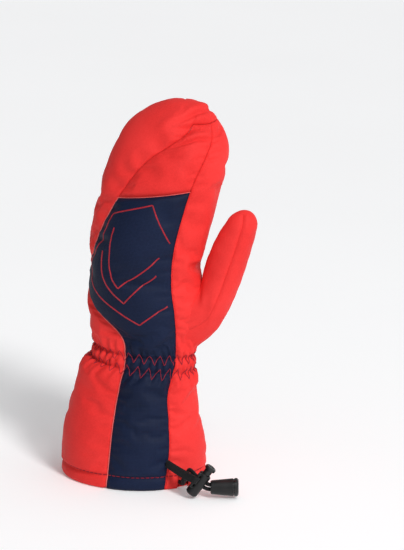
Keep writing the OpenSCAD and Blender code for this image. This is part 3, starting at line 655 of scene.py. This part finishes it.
# pulled folds between the elastic rows, above them and below them, fine puckers on them, and a dip there
gathers = np.where(between_rows, 2.2 * fold_mid * np.sin(np.pi * np.clip(-above / gap_mm, 0, 1)) ** 0.7, 0)
gathers = gathers + np.where(above >= 0, 3.1 * fold_up * (1 - np.exp(-up_mm / 2.4))
                             * np.exp(-(up_mm / (8.5 * fold_reach)) ** 1.7), 0)
gathers = gathers + np.where(below >= 0, 2.8 * fold_down * (1 - np.exp(-down_mm / 2.4))
                             * np.exp(-(down_mm / (9 * fold_reach)) ** 1.7)
                             + 1.1 * fold_wide * (1 - np.exp(-down_mm / 7))
                             * np.exp(-(down_mm / (22 * fold_reach)) ** 2), 0)
gathers = gathers + 0.45 * fold_fine * np.exp(-np.minimum(np.abs(above), np.abs(below)) / 3)
gathers = (gathers * (1.15 - 0.3 * NAVY_SIDE) - row_dip
           - 0.75 * np.exp(-(np.maximum(up_mm, down_mm) / 14) ** 2))

HEM_STITCH_UP = 8.4
hem_up = P0[..., 2]
puff = 1.5 * (1 - np.exp(-SEAM_D / 7)) - 0.75 * np.exp(-(SEAM_D / 1.3) ** 2)
puff = puff * (0.55 + 0.45 * smooth_step(S, 4, 6))
hem_band = (-0.55 * np.exp(-((hem_up - HEM_STITCH_UP) / 1.1) ** 2)
            + 0.7 * smooth_step(hem_up, 0.2, 2.5) * (1 - smooth_step(hem_up, 5, 8)))
soft = 0.35 * waves(21, 26, 22, 60) + 0.14 * waves(22, 30, 8, 20)
cuff_drape = 0.9 * fold_wide * smooth_step(S, 0.5, 1.8) * (1 - smooth_step(S, 2.2, 3.1)) * 0.5
tucks = (1.9 * crease((207, 115), (160, 143), 1.25, 0.1, 0.5, 3.0)
         + 1.7 * crease((208, 143), (168, 156), 1.2, 0.12, 0.5, 2.5)
         + 0.9 * crease((196, 131), (150, 150), 1.6, 0.3, 0.6, 4.0)
         + 0.5 * crease((128, 168), (150, 140), 1.8, 0.3, 0.5, -3.0)
         + 0.7 * crease((199, 281), (199, 300), 1.0, 0.2, 0.5, 0.0))
relief = puff + gathers + hem_band + soft + cuff_drape + tucks
relief = relief * smooth_step(hem_up, -1.5, 1.2)
TIP_FADE = 1 - smooth_step(S, 12.4, 13)
relief = relief * (0.25 + 0.75 * TIP_FADE) - 0.25 * (1 - TIP_FADE)
DEEPEST = -0.6
relief = np.maximum(relief, DEEPEST)
P1 = P0 + relief[..., None] * N0
P1[-1] = P1[-1].mean(0)


SIM_SCALE, SIM_FRAMES, FARTHEST = 20, 22, 5.0


def simulate(points):
    """Blown slightly out and given spare cloth, held along every seam, hem and elastic row."""
    rows, cols = points.shape[:2]
    rs, cs = np.arange(0, rows - 1, 2), np.arange(cols)
    if rs[-1] != rows - 2:
        rs = np.append(rs, rows - 2)
    grid = points[np.ix_(rs, cs)]
    nr, nc = len(rs), len(cs)
    verts = np.concatenate([grid.reshape(-1, 3), points[-1:, 0]]) * MM * SIM_SCALE
    faces = [(i * nc + j, i * nc + (j + 1) % nc, (i + 1) * nc + (j + 1) % nc, (i + 1) * nc + j)
             for i in range(nr - 1) for j in range(nc)]
    faces += [((nr - 1) * nc + j, (nr - 1) * nc + (j + 1) % nc, nr * nc) for j in range(nc)]
    mesh = bpy.data.meshes.new("cloth_run")
    mesh.from_pydata(verts.tolist(), [], faces)
    o = bpy.data.objects.new("cloth_run", mesh)
    bpy.context.scene.collection.objects.link(o)
    pin = o.vertex_groups.new(name="pin")
    held = 1 - smooth_step(grid[..., 2], 7.5, 10)
    for far, reach in ((SEAM_D, 1.6), (above, 1.8), (below, 1.8)):
        held = np.maximum(held, np.exp(-(far[np.ix_(rs, cs)] / reach) ** 2))
    weights = np.append(held.ravel(), 0.3)
    for i, w in enumerate(weights):
        if w > 0.02:
            pin.add([i], float(w), "REPLACE")
    m = o.modifiers.new("cloth", "CLOTH")
    st = m.settings
    st.quality = 6
    st.mass = 0.3
    st.tension_stiffness = st.compression_stiffness = 18
    st.shear_stiffness = 6
    st.bending_stiffness = 1.2
    st.tension_damping = st.compression_damping = st.shear_damping = 8
    st.bending_damping = 1
    st.air_damping = 4
    st.vertex_group_mass = "pin"
    st.pin_stiffness = 4
    st.shrink_min = -0.045
    st.use_pressure = True
    st.uniform_pressure_force = 1.6
    st.effector_weights.gravity = 0
    m.collision_settings.use_collision = False
    m.collision_settings.use_self_collision = False
    m.point_cache.frame_start, m.point_cache.frame_end = 1, SIM_FRAMES
    scene = bpy.context.scene
    for f in range(1, SIM_FRAMES + 1):
        scene.frame_set(f)
    ev = o.evaluated_get(bpy.context.evaluated_depsgraph_get())
    out = np.zeros(len(ev.data.vertices) * 3)
    ev.data.vertices.foreach_get("co", out)
    out = out.reshape(-1, 3) / SIM_SCALE / MM
    bpy.data.objects.remove(o)
    scene.frame_set(1)
    got = out[:-1].reshape(nr, nc, 3)
    move = got - grid
    full = np.zeros_like(points)
    for k in range(3):
        for j in range(cols):
            full[:-1, j, k] = np.interp(np.arange(rows - 1), rs, move[:, j, k])
    full[-1] = out[-1] - points[-1, 0]
    return full


move = simulate(P1)
size = np.linalg.norm(move, axis=-1, keepdims=True)
print("cloth moved, mm: mean", round(float(size.mean()), 2), "max", round(float(size.max()), 2))
move = move * np.minimum(1, FARTHEST / np.maximum(size, 1e-6))
inward = (move * N0).sum(-1, keepdims=True)
depth = relief[..., None] + inward
move = move + np.maximum(0, DEEPEST - depth) * N0
P1 = P1 + move
P1[..., 2] = np.maximum(P1[..., 2], 0)
P1[-1] = P1[-1, 0]


def surface_at(s, c, off=0.0):
    """A point of the finished outer fabric at station s and column c, off mm outside it."""
    s, c = np.broadcast_arrays(np.asarray(s, float), np.asarray(c, float))
    r = np.interp(s, row_s, np.arange(FR + 1))
    q = np.mod(c * KC, FC)
    i = np.clip(np.floor(r).astype(int), 0, FR - 1)
    j = np.floor(q).astype(int)
    fr, fc = (r - i)[..., None], (q - j)[..., None]
    j0, j1 = j % FC, (j + 1) % FC

    def pick(g):
        return (g[i, j0] * (1 - fr) * (1 - fc) + g[i + 1, j0] * fr * (1 - fc)
                + g[i, j1] * (1 - fr) * fc + g[i + 1, j1] * fr * fc)
    return pick(P1) + off * unit(pick(N0))


def column_at_angle(s, th):
    """Column of the grid at station s whose angle is th."""
    edge = spline(np.array([s]), SEAMS)[0]
    edge = np.append(edge, edge[0] + 360)
    a = (th - edge[0]) % 360 + edge[0]
    i = int(np.clip(np.searchsorted(edge, a, side="right") - 1, 0, 3))
    return (i + (a - edge[i]) / (edge[i + 1] - edge[i])) * PER_PANEL


EDGE_IN, EDGE_DRAWN = 0.28, 0.10


def panel(name, has, material, nodes, without=None):
    """Closed 0.8 mm piece of the outer fabric made of the base-grid cells that has(row, column) picks."""
    cell = np.zeros((FR, FC), bool)
    for r in range(len(SHELL_ROWS) - 1):
        for c in range(COLS):
            if has(r, c):
                cell[r * KR:(r + 1) * KR, c * KC:(c + 1) * KC] = True
    if without is not None:
        cell &= ~without
    used = picked_points(cell)
    around = np.vstack([np.zeros((1, FC), bool), cell, np.zeros((1, FC), bool)])
    if cell[-1].any():
        around[-1] = around[-2]
    touching = sum(np.roll(around[dr:FR + 1 + dr], dc, 1).astype(int) for dr in (0, 1) for dc in (0, 1))
    edge = used & (touching < 4)
    if cell[-1].any():
        edge[-1] = False
    outer, inner = P1.copy(), P1 - SHELL_T * N0
    outer[edge] = (P1 - EDGE_IN * N0)[edge]
    # draw the cut edges in a little, so neighbours don't share a face
    mid = np.zeros_like(outer)
    weight = np.zeros(outer.shape[:2])
    for dr, dc in ((0, 1), (0, -1), (1, 0), (-1, 0)):
        src = np.roll(np.roll(P1, dr, 0), dc, 1)
        ok = np.roll(np.roll(used & ~edge, dr, 0), dc, 1)
        mid += src * ok[..., None]
        weight += ok
    near = edge & (weight > 0)
    aim = mid[near] / weight[near][:, None] - P1[near]
    outer[near] += EDGE_DRAWN * aim
    inner[near] += EDGE_DRAWN * aim
    verts, faces, uv = closed_piece(cell, outer, inner, U_ARC, V_ARC)
    o = new_mesh(name, verts, faces, material, uv)
    on_hand(o, nodes)


def panel_of(c):
    return c // PER_PANEL


mid_th = (TH + np.roll(TH, -1, 1)) / 2
mid_s = S + np.diff(np.append(row_s, TIP))[:, None] / 2
across = ((mid_th[:-1] + 180) % 360 - 180 - THUMB_BASE[1]) / THUMB_REACH[1]
UNDER_THUMB = np.hypot((mid_s[:-1] - THUMB_BASE[0]) / THUMB_REACH[0], across) < HOLE_SHARE


panel("back_cloth", lambda r, c: panel_of(c) == 0 and r < KNUCKLE_ROW, NAVY, ["back_panel"])
panel("upper_back_cloth", lambda r, c: panel_of(c) == 0 and KNUCKLE_ROW <= r < CAP_ROW, RED,
      ["upper_back_panel"])
panel("ulnar_side_cloth", lambda r, c: panel_of(c) == 3 or r >= CAP_ROW, RED,
      ["ulnar_side_panel"])
panel("radial_side_cloth", lambda r, c: panel_of(c) == 1 and r < CAP_ROW
      and not (r < HEM_ROW and c == SLOT_COL), RED, ["radial_side_panel"], UNDER_THUMB)
panel("palm_cloth", lambda r, c: panel_of(c) == 2 and WRIST_ROW <= r < CAP_ROW, PALM,
      ["palm_panel"])
panel("palm_cuff_cloth", lambda r, c: panel_of(c) == 2 and r < WRIST_ROW, RED,
      ["palm_cuff_panel"])


# ---------------------------------------------------------------- thumb
def thumb_ring(k, psi):
    k, psi = np.broadcast_arrays(np.asarray(k, float), np.asarray(psi, float))
    r = spline(k - 1, THUMB)
    m = np.stack([(r[..., 0] + r[..., 2]) / 2, r[..., 4], (r[..., 1] + r[..., 3]) / 2], -1)
    h = np.stack([(r[..., 2] - r[..., 0]) / 2, 0 * k, (r[..., 3] - r[..., 1]) / 2], -1)
    return m + h * cosd(psi)[..., None] + np.stack([0 * k, r[..., 5] * sind(psi), 0 * k], -1)


def thumb_out(k, psi):
    k = np.minimum(k, THUMB_TIP - 0.03)
    return unit(np.cross(thumb_ring(k, psi + 1) - thumb_ring(k, psi - 1),
                         thumb_ring(k + 0.01, psi) - thumb_ring(np.maximum(k - 0.01, 1), psi)))


ROOT_K = 2.2
ROOT_ROWS = 30
TK = np.concatenate([np.linspace(0, ROOT_K, ROOT_ROWS + 1)[:-1], np.linspace(ROOT_K, THUMB_TIP, 96)])
TC = 120
tk, tp = np.meshgrid(TK, THUMB_SEAM + np.arange(TC) * 360 / TC, indexing="ij")


def thumb_root():
    """The thumb's root as a fillet: it leaves the hand's cloth level with it and meets the thumb smoothly."""
    psi = tp[0]
    reach_s = np.where(cosd(psi) > 0, THUMB_REACH[0], 0.95)
    reach_th = np.where(sind(psi) < 0, 39, 35)
    s = THUMB_BASE[0] - reach_s * cosd(psi)
    th = THUMB_BASE[1] + reach_th * sind(psi)
    c = np.array([column_at_angle(a, b) for a, b in zip(s, th)])
    n = skin_out(s, th)
    f = surface_at(s, c, -0.45)
    r = thumb_ring(np.full(TC, ROOT_K), psi)
    on = unit(thumb_ring(np.full(TC, ROOT_K + 0.05), psi) - thumb_ring(np.full(TC, ROOT_K - 0.05), psi))
    gap = r - f
    length = np.linalg.norm(gap, axis=-1, keepdims=True)
    tf = unit(gap - (gap * n).sum(-1, keepdims=True) * n)
    bow = (1.05 - 0.7 * np.maximum(cosd(psi), 0))[:, None]
    t = (np.arange(ROOT_ROWS) / ROOT_ROWS)[:, None, None]
    return ((2 * t ** 3 - 3 * t ** 2 + 1) * f + (t ** 3 - 2 * t ** 2 + t) * tf * length * bow
            + (3 * t ** 2 - 2 * t ** 3) * r + (t ** 3 - t ** 2) * on * length * 0.95)


body_k = np.maximum(tk, ROOT_K)
T0 = thumb_ring(body_k, tp)
T0[:ROOT_ROWS] = thumb_root()
around = np.roll(T0, -1, 1) - np.roll(T0, 1, 1)
TN = unit(np.cross(around, np.gradient(T0, axis=0)))
TN[-3:] = thumb_out(np.full((3, TC), THUMB_TIP - 0.03), tp[-3:])
TN[-1] = unit(np.array([0.25, 0, 1]))
t_v = np.concatenate([np.zeros((1, TC)), np.cumsum(np.linalg.norm(np.diff(T0, axis=0), axis=-1), 0)], 0)
t_u = np.concatenate([np.zeros((len(TK), 1)),
                      np.cumsum(np.linalg.norm(np.roll(T0, -1, 1) - T0, axis=-1), 1)[:, :-1]], 1)
seam_k = np.linspace(0.3, 10.2, 300)
t_seam = np.concatenate([thumb_ring(np.maximum(seam_k, 1), np.full(300, float(a)))
                         for a in (THUMB_SEAM, THUMB_SEAM + 180)])
t_d = distance_to(t_seam, T0)
t_relief = 0.9 * (1 - np.exp(-t_d / 5)) - 0.6 * np.exp(-(t_d / 1.2) ** 2) * smooth_step(tk, 1.8, 3.8)
t_relief = t_relief * smooth_step(tk, 0.1, 1.6) * (1 - 0.8 * smooth_step(tk, 10.2, 11))
tr = random.Random(5)
for _ in range(14):
    d = any_way(tr)
    t_relief = t_relief + (0.07 * np.sin(T0 @ d * 2 * math.pi / tr.uniform(9, 34) + tr.uniform(0, 6.28))
                           * smooth_step(tk, 0.5, 2))
# folds that run round the crotch and up the thumb's root
root_fold = np.exp(-((tk - 2.2) / 1.4) ** 2)
t_relief = t_relief + 0.35 * root_fold * np.sin(np.radians(tp) * 7 + tk * 1.2)
T1 = T0 + t_relief[..., None] * TN
T1[-1] = T1[-1].mean(0)


def thumb_half(name, cols, closes, nodes):
    """Half of the thumb's cloth between its two seams, from the hand to the tip; one half closes the tip."""
    tip_row = int(np.searchsorted(TK, 10.3))
    cell = np.zeros((len(TK) - 1, TC), bool)
    cell[:tip_row, cols[0]:cols[1]] = True
    if closes:
        cell[tip_row:] = True
    verts, faces, uv = closed_piece(cell, T1, T1 - SHELL_T * TN, t_u, t_v)
    o = new_mesh(name, verts, faces, RED, uv)
    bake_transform(o)
    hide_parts(*nodes)
    return o


thumb_half("thumb_palm_cloth", (0, TC // 2), True, ["thumb_palm_panel"])
thumb_half("thumb_back_cloth", (TC // 2, TC), False, ["thumb_back_panel", "thumb_gusset"])

# ---------------------------------------------------------------- hem, stitching, print and label
def hem_ring(name, profile, cols, material, nodes):
    """Closed ring of a profile (depth inside the skin, height) swept round the hem."""
    th = np.arange(cols) * 360 / cols
    base, out = skin(np.zeros(cols), th), skin_out(np.zeros(cols), th)
    arc = arc_of(base)
    verts = [base[c] - deep * out[c] + np.array([0, 0, up]) for c in range(cols) for deep, up in profile]
    uv = [(arc[c], deep + up) for c in range(cols) for deep, up in profile]
    o = new_mesh(name, verts, ring_faces(cols, len(profile), ring=True), material, np.array(uv) * MM)
    on_hand(o, nodes)


hem_profile = [(1.3, 0.35), (1.7, 0.05), (2.6, 0), (4.2, 0.05), (4.8, 0.35), (5, 1), (5, 4), (5, 8),
               (4.85, 8.8), (4.5, 9), (4.25, 8.7), (4.2, 8), (4.2, 4), (4.2, 1.3), (4, 0.9), (2.6, 0.8),
               (1.5, 0.8)]
hem_ring("hem_turning", hem_profile, 160, RED, ["hem_facing"])


def stitched(name, s, c_from, c_to, count, radius, material, nodes, stitch=3.0):
    """A row of straight stitches round the mitten: short rounded threads with gaps between them."""
    verts, faces, uv = [], [], []
    c = np.linspace(c_from, c_to, count)
    pts = surface_at(s, c, 0.0)
    normal = unit(pts - surface_at(s, c, -1.0))
    arc = arc_of(pts)
    total = arc[-1]
    m = int(total / stitch)
    for i in range(m):
        at = np.linspace(i * total / m, (i + 0.8) * total / m, 7)
        line = np.stack([np.interp(at, arc, pts[:, k]) for k in range(3)], -1)
        nn = unit(np.stack([np.interp(at, arc, normal[:, k]) for k in range(3)], -1))
        lift = radius * np.array([-0.9, 0.35, 0.7, 0.8, 0.7, 0.35, -0.9])
        line = line + nn * lift[:, None]
        t, u, v = frames(line)
        base = len(verts)
        for j in range(7):
            r = radius * (0.75 if j in (0, 6) else 1)
            for k in range(6):
                a = k * math.pi / 3
                verts.append(line[j] + r * (math.cos(a) * u[j] + math.sin(a) * v[j]))
                uv.append((r * a, at[j]))
        faces += [tuple(base + k for k in face) for face in ring_faces(7, 6)]
    o = new_mesh(name, verts, faces, material, np.array(uv) * MM)
    on_hand(o, nodes)


hem_s = np.interp(HEM_STITCH_UP, [0, 0.1027 * H], [0, 1])
stitched("hem_stitches", hem_s, 0, 31.999, 1200, 0.28, THREAD, ["hem_stitching"])

ZIGZAGS, ZIGZAG_HALF = 30, 0.2


def zigzag(name, s0):
    """Zigzag thread right round the wrist at station s0; it dips into the cloth at each corner."""
    cs = np.array([column_at_angle(s0, a) for a in np.arange(2 * ZIGZAGS) * 180 / ZIGZAGS])
    ss = np.array([s0 + (ZIGZAG_HALF if i % 2 == 0 else -ZIGZAG_HALF) for i in range(2 * ZIGZAGS)])
    f = np.linspace(0, 1, 9)[:-1]
    dip = 0.30 - 0.42 * np.abs(2 * f - 1) ** 8
    pts = []
    for i in range(2 * ZIGZAGS):
        j = (i + 1) % (2 * ZIGZAGS)
        c0, c1 = cs[i], cs[j]
        if c1 < c0 - COLS // 2:
            c1 += COLS
        if c0 < c1 - COLS // 2:
            c0 += COLS
        p, q = (surface_at(ss[i] + (ss[j] - ss[i]) * f, c0 + (c1 - c0) * f, off) for off in (0.0, 1.0))
        pts.append(p + dip[:, None] * (q - p))
    z = sweep(name, np.concatenate(pts), 0.20, 7, THREAD, ring=True)
    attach(z, "hand")
    return z


zigzags = [zigzag("wrist_zigzag_" + tag, s0) for tag, s0 in zip("ab", ELASTIC)]
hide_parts("wrist_stitching")



def seam_edge(name, s, c, radius, material):
    """Folded edge of cloth that stands along a seam."""
    e = sweep(name, surface_at(s, c, 0.05), radius, 8, material)
    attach(e, "hand")


up_seam = np.linspace(0.05, KNUCKLE_S, 420)
# The ulnar and knuckle edges get the lighter pink-red, a painted highlight along their folds; the radial edge
# keeps the plain red.
seam_edge("seam_edge_ulnar", up_seam, 0.0, 0.32, PAINTED_EDGE_HIGHLIGHT)
seam_edge("seam_edge_radial", up_seam, 8.0, 0.22, RED)
seam_edge("seam_edge_knuckle", KNUCKLE_S, np.linspace(0.05, 7.95, 200), 0.26, PAINTED_EDGE_HIGHLIGHT)

contour = [[8.1, 7.5], [8.8, 4.7], [8.65, 1.2], [7.5, 1.3], [6.75, 2.2], [5.65, 4.6], [6.3, 7.5]]
chevron = [[7.9, 2.3], [6.4, 4.5], [7.3, 6.9]]


def print_line(name, route, steps, width=0.42, high=0.24):
    """Flat raised ribbon of print with a soft top, laid on the cloth in straight runs with tight corners."""
    route = np.array(route)
    at = np.linspace(0, len(route) - 1, steps + 1)
    p = np.stack([np.interp(at, np.arange(len(route)), route[:, k]) for k in range(2)], -1)
    for _ in range(3):
        p[1:-1] = (p[:-2] + 2 * p[1:-1] + p[2:]) / 4
    mid = surface_at(p[:, 0], p[:, 1], 0.0)
    up = unit(surface_at(p[:, 0], p[:, 1], 1.0) - mid)
    t = unit(np.gradient(mid, axis=0))
    side = unit(np.cross(up, t))
    shape = [(-1, -0.6), (-1, 0.35), (-0.7, 0.85), (0, 1), (0.7, 0.85), (1, 0.35), (1, -0.6)]
    verts, uv = [], []
    arc = arc_of(mid)
    for i in range(len(mid)):
        for a, b in shape:
            verts.append(mid[i] + a * width * side[i] + b * high * up[i])
            uv.append((a * width, arc[i]))
    o = new_mesh(name, verts, ring_faces(len(mid), len(shape)), PRINT, np.array(uv) * MM)
    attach(o, "hand")
    return o


prints = [print_line("print_" + tag, route, steps) for tag, route, steps in (
    ("contour", contour, 420), ("chevron_low", chevron, 240),
    ("chevron_high", [[a + 0.5, b] for a, b in chevron], 240))]
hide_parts("back_print")

# ---------------------------------------------------------------- lining seen in the mouth
def lining_band(name, s, off_of, thick, cols, nodes, ripple):
    """Lining sleeve with soft folds, closed between its two faces."""
    th = np.arange(cols) * 360 / cols
    sg, tg = np.meshgrid(s, th, indexing="ij")
    base, out = skin(sg, tg), skin_out(sg, tg)
    fold = ripple * (np.sin(np.radians(tg) * 23 + 2 * np.sin(np.radians(tg) * 5)) * 0.5
                     + np.sin(np.radians(tg) * 11 + sg * 1.7) * 0.5) * np.clip((sg - 0.6) / 1.5, 0, 1)
    off = off_of(sg) + 0.5 * np.abs(fold)
    outer = base - off[..., None] * out
    inner = base - (off + thick)[..., None] * out
    verts = np.concatenate([outer.reshape(-1, 3), inner.reshape(-1, 3)])
    uv = np.stack([tg * 0.6, sg * 18], -1).reshape(-1, 2) * MM
    o = new_mesh(name, verts, sleeve_faces(len(s), cols), LINING, np.concatenate([uv, uv]))
    on_hand(o, nodes)


def thumb_sleeve():
    """Fleece tube inside the thumb's root, which follows the cloth's shape 1.5 to 2.2 mm inside it."""
    k = np.nonzero((TK >= 1.8) & (TK <= 4.9))[0]
    verts = np.concatenate([(T1[k] - deep * TN[k]).reshape(-1, 3) for deep in (1.5, 2.2)])
    uv = np.stack([t_u[k], t_v[k]], -1).reshape(-1, 2) * MM
    o = new_mesh("thumb_sleeve", verts, sleeve_faces(len(k), TC), LINING, np.concatenate([uv, uv]))
    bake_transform(o)
    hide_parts("gusset_lining")


thumb_sleeve()
lining_band("cuff_sleeve", np.linspace(0.4, 4.35, 90),
            lambda s: np.where(s < 1, 4.2 + (2.8 - 4.2) * (s - 0.4) / 0.6, 2.8), 0.6, 200,
            ["cuff_lining"], 1.3)

# ---------------------------------------------------------------- webbing, label and hardware
def strap(name, path, across, width, thick, material, rounded=5):
    """Flat strap: a rounded-edge section swept along a path, lying along its across directions."""
    path, across = np.asarray(path, float), unit(np.asarray(across, float))
    t = unit(np.gradient(path, axis=0))
    flat = unit(across - (across * t).sum(-1, keepdims=True) * t)
    up = np.cross(t, flat)
    section = []
    w, h = width / 2, thick / 2
    for sx, a0 in ((1, -90), (-1, 90)):
        for k in range(rounded):
            a = math.radians(a0 + 180 * k / (rounded - 1))
            section.append((sx * (w - h) + h * math.cos(a), h * math.sin(a)))
    flats = np.linspace(w - h, -(w - h), 9)[1:-1]
    section = (section[:rounded] + [(x, h) for x in flats] + section[rounded:]
               + [(x, -h) for x in np.linspace(-(w - h), w - h, 9)[1:-1]])
    arc = arc_of(path)
    verts, uv = [], []
    for i in range(len(path)):
        for x, y in section:
            rib = 0.05 * math.sin(x * 5.5)
            verts.append(path[i] + x * flat[i] + (y + rib * (1 if y > 0 else -1)) * up[i])
            uv.append((x, arc[i]))
    return new_mesh(name, verts, ring_faces(len(path), len(section)), material, np.array(uv) * MM)


# the lock's webbing goes out, round the bar and back, as one folded strip
bar_mid = from_lock([EAR_R * cosd(EAR_TURN), EAR_R * sind(EAR_TURN), 0])
bar_dir = unit(from_lock([0, 0, 1]) - LOCK_AT)
run = bar_mid - LOCK_WEB_AT
run_dir = unit(run)
loop_r = 0.8 + 0.15 + WEB_T / 2
start_dir = np.array([0.0, 0, 1])


def web_side(sign, steps=22):
    pts, acr = [], []
    for f in np.linspace(0, 1, steps):
        d = unit(start_dir * (1 - f) + bar_dir * f)
        n = unit(np.cross(run_dir, d))
        gap = (WEB_T / 2 + 0.02) * (1 - f ** 2) + loop_r * f ** 2
        sag = 0.5 * math.sin(math.pi * f)
        pts.append(LOCK_WEB_AT + run * f + sign * gap * n + np.array([0, 0, -sag]))
        acr.append(d)
    return pts, acr


pa, aa = web_side(1)
pb, ab = web_side(-1)
n_end = unit(np.cross(run_dir, bar_dir))
turn_pts = [bar_mid + loop_r * (math.cos(a) * n_end + math.sin(a) * run_dir)
            for a in np.linspace(0, math.pi, 13)[1:-1]]
web_path = pa + turn_pts + pb[::-1]
web_across = aa + [bar_dir] * len(turn_pts) + ab[::-1]
lock_web = strap("lock_strap", web_path, web_across, 0.62 * LOCK_WEB_W, WEB_T, WEBBING)
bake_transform(lock_web)
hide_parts("lock_webbing")

# clip webbing: one strip that hangs from the seam, goes round the plug's bar and back up a little way
bar = np.array([0, 0, CLIP_BAR_Z])
r_bar = 1 + 0.15 + WEB_T / 2
front = [np.array([0, 0, z]) for z in np.linspace(0, CLIP_BAR_Z + 3.2, 10)]
turn0 = [bar + r_bar * np.array([math.sin(a), 0, math.cos(a)])
         for a in np.linspace(0.0, 2 * math.pi * 0.86, 26)]
ease_in = [front[-1] * (1 - f) + turn0[0] * f for f in (0.35, 0.7)]
clip_path = from_clip(np.array(front + ease_in + turn0))
clip_across = np.tile(from_clip(np.array([0, 1, 0])) - CLIP_AT, (len(clip_path), 1))
clip_web = strap("clip_strap", clip_path, clip_across, 9.4, WEB_T, WEBBING)
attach(clip_web, "clip")
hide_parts("clip_webbing")

# woven tab: a folded loop of ribbon in the seam
tab_mid = skin(np.array(1.1), np.array(150.0)) + 3.8 * skin_out(np.array(1.1), np.array(150.0))
tab_x = np.array([cosd(144), sind(144), 0])
tab_n = np.array([-sind(144), cosd(144), 0])
tab_path = [tab_mid - tab_x * 2.8 + tab_n * 0.42 + tab_x * f for f in np.linspace(0, 5.1, 12)]
tab_path += [tab_mid + tab_x * 2.3 + 0.42 * (tab_n * math.cos(a) + tab_x * math.sin(a))
             for a in np.linspace(0, math.pi, 9)[1:-1]]
tab_path += [tab_mid - tab_x * 2.8 - tab_n * 0.42 + tab_x * f for f in np.linspace(5.1, 0, 12)]
tab = strap("side_tab", tab_path, np.tile([0, 0, 1.0], (len(tab_path), 1)), 10, 0.55, LABEL)
on_hand(tab, ["side_label"])


def dress(node, material, bevel=0.0):
    """A carried-over CAD node gets its material, smooth shading and softened edges."""
    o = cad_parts[node]
    o.data.materials.clear()
    o.data.materials.append(material)
    if bevel:
        b = o.modifiers.new("soft_edges", "BEVEL")
        b.width = bevel * MM
        b.segments = 3
        b.limit_method = "ANGLE"
        b.angle_limit = math.radians(35)
    o.data.polygons.foreach_set("use_smooth", [True] * len(o.data.polygons))
    w = o.modifiers.new("weighted", "WEIGHTED_NORMAL")
    w.keep_sharp = True
    return o


for node, material, bevel in (
        ("cord_lock_barrel", SATIN, 0.22), ("cord_lock_button", GLOSS, 0.2), ("cord_lock_spring", STEEL, 0),
        ("cord_end_bell", SATIN, 0.2), ("cord_end_cap", GLOSS, 0.2), ("cord_knot", CORD, 0),
        ("clip_plug", SATIN, 0.2), ("clip_prong_a", SATIN, 0.15), ("clip_prong_b", SATIN, 0.15),
        ("waterproof_insert", FILM, 0), ("hand_insulation", WADDING, 0), ("thumb_insulation", WADDING, 0),
        ("hand_lining", LINING, 0), ("thumb_lining", LINING, 0),
        ("wrist_elastic_lower", ELASTIC_MAT, 0), ("wrist_elastic_upper", ELASTIC_MAT, 0),
        ("drawcord_loop", CORD, 0)):
    dress(node, material, bevel)

for tail, route, line, length, tag in cords:
    lock_exit_blend(tail)
    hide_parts("drawcord_tail_" + tag)

# ---------------------------------------------------------------- floor and light
def floor_material():
    n = Nodes("floor_pale")
    v = n.noise(n.coords(False), 3, 2, 0.5)
    return n.surface(color=n.ramp(v, [(0.3, (0.955, 0.955, 0.955)), (0.7, (0.97, 0.97, 0.97))]),
                     rough=0.9, gloss=0.1, glow=(1, 1, 1, 1), glow_strength=0.12)


floor = new_mesh("floor", [(x * 4000, y * 4000, -0.3) for x, y in ((-1, -1), (1, -1), (1, 1), (-1, 1))],
                 [(0, 1, 2, 3)], floor_material())

world = bpy.data.worlds.new("studio")
world.use_nodes = True
world.node_tree.nodes["Background"].inputs["Color"].default_value = (0.97, 0.98, 1.0, 1)
sky = world.node_tree
from_thumb_side = sky.nodes.new("ShaderNodeSeparateXYZ")
sky.links.new(sky.nodes.new("ShaderNodeTexCoord").outputs["Generated"], from_thumb_side.inputs[0])
fade = sky.nodes.new("ShaderNodeMath")
fade.operation = "MULTIPLY_ADD"
sky.links.new(from_thumb_side.outputs["X"], fade.inputs[0])
fade.inputs[1].default_value = 0.38
fade.inputs[2].default_value = 0.48
sky.links.new(fade.outputs[0], sky.nodes["Background"].inputs["Strength"])
bpy.context.scene.world = world
bpy.context.scene.view_settings.view_transform = "Standard"


def light(name, kind, az, el, far, energy, size):
    """A lamp that looks at the mitten from azimuth az (0 in front, 90 on its thumb side) and elevation el."""
    d = bpy.data.lights.new(name, kind)
    d.energy = energy
    if kind == "SUN":
        d.angle = math.radians(size)
    else:
        d.size = size
    o = bpy.data.objects.new(name, d)
    bpy.context.scene.collection.objects.link(o)
    back = Vector((sind(az) * cosd(el), -cosd(az) * cosd(el), sind(el)))
    o.location = Vector((0.02, 0, 0.12)) + back * far
    o.rotation_mode = "QUATERNION"
    o.rotation_quaternion = (-back).to_track_quat("-Z", "Y")


light("key", "SUN", 48, 38, 2, 1.65, 12)
light("glint", "AREA", 40, 55, 0.9, 1.2, 0.12)
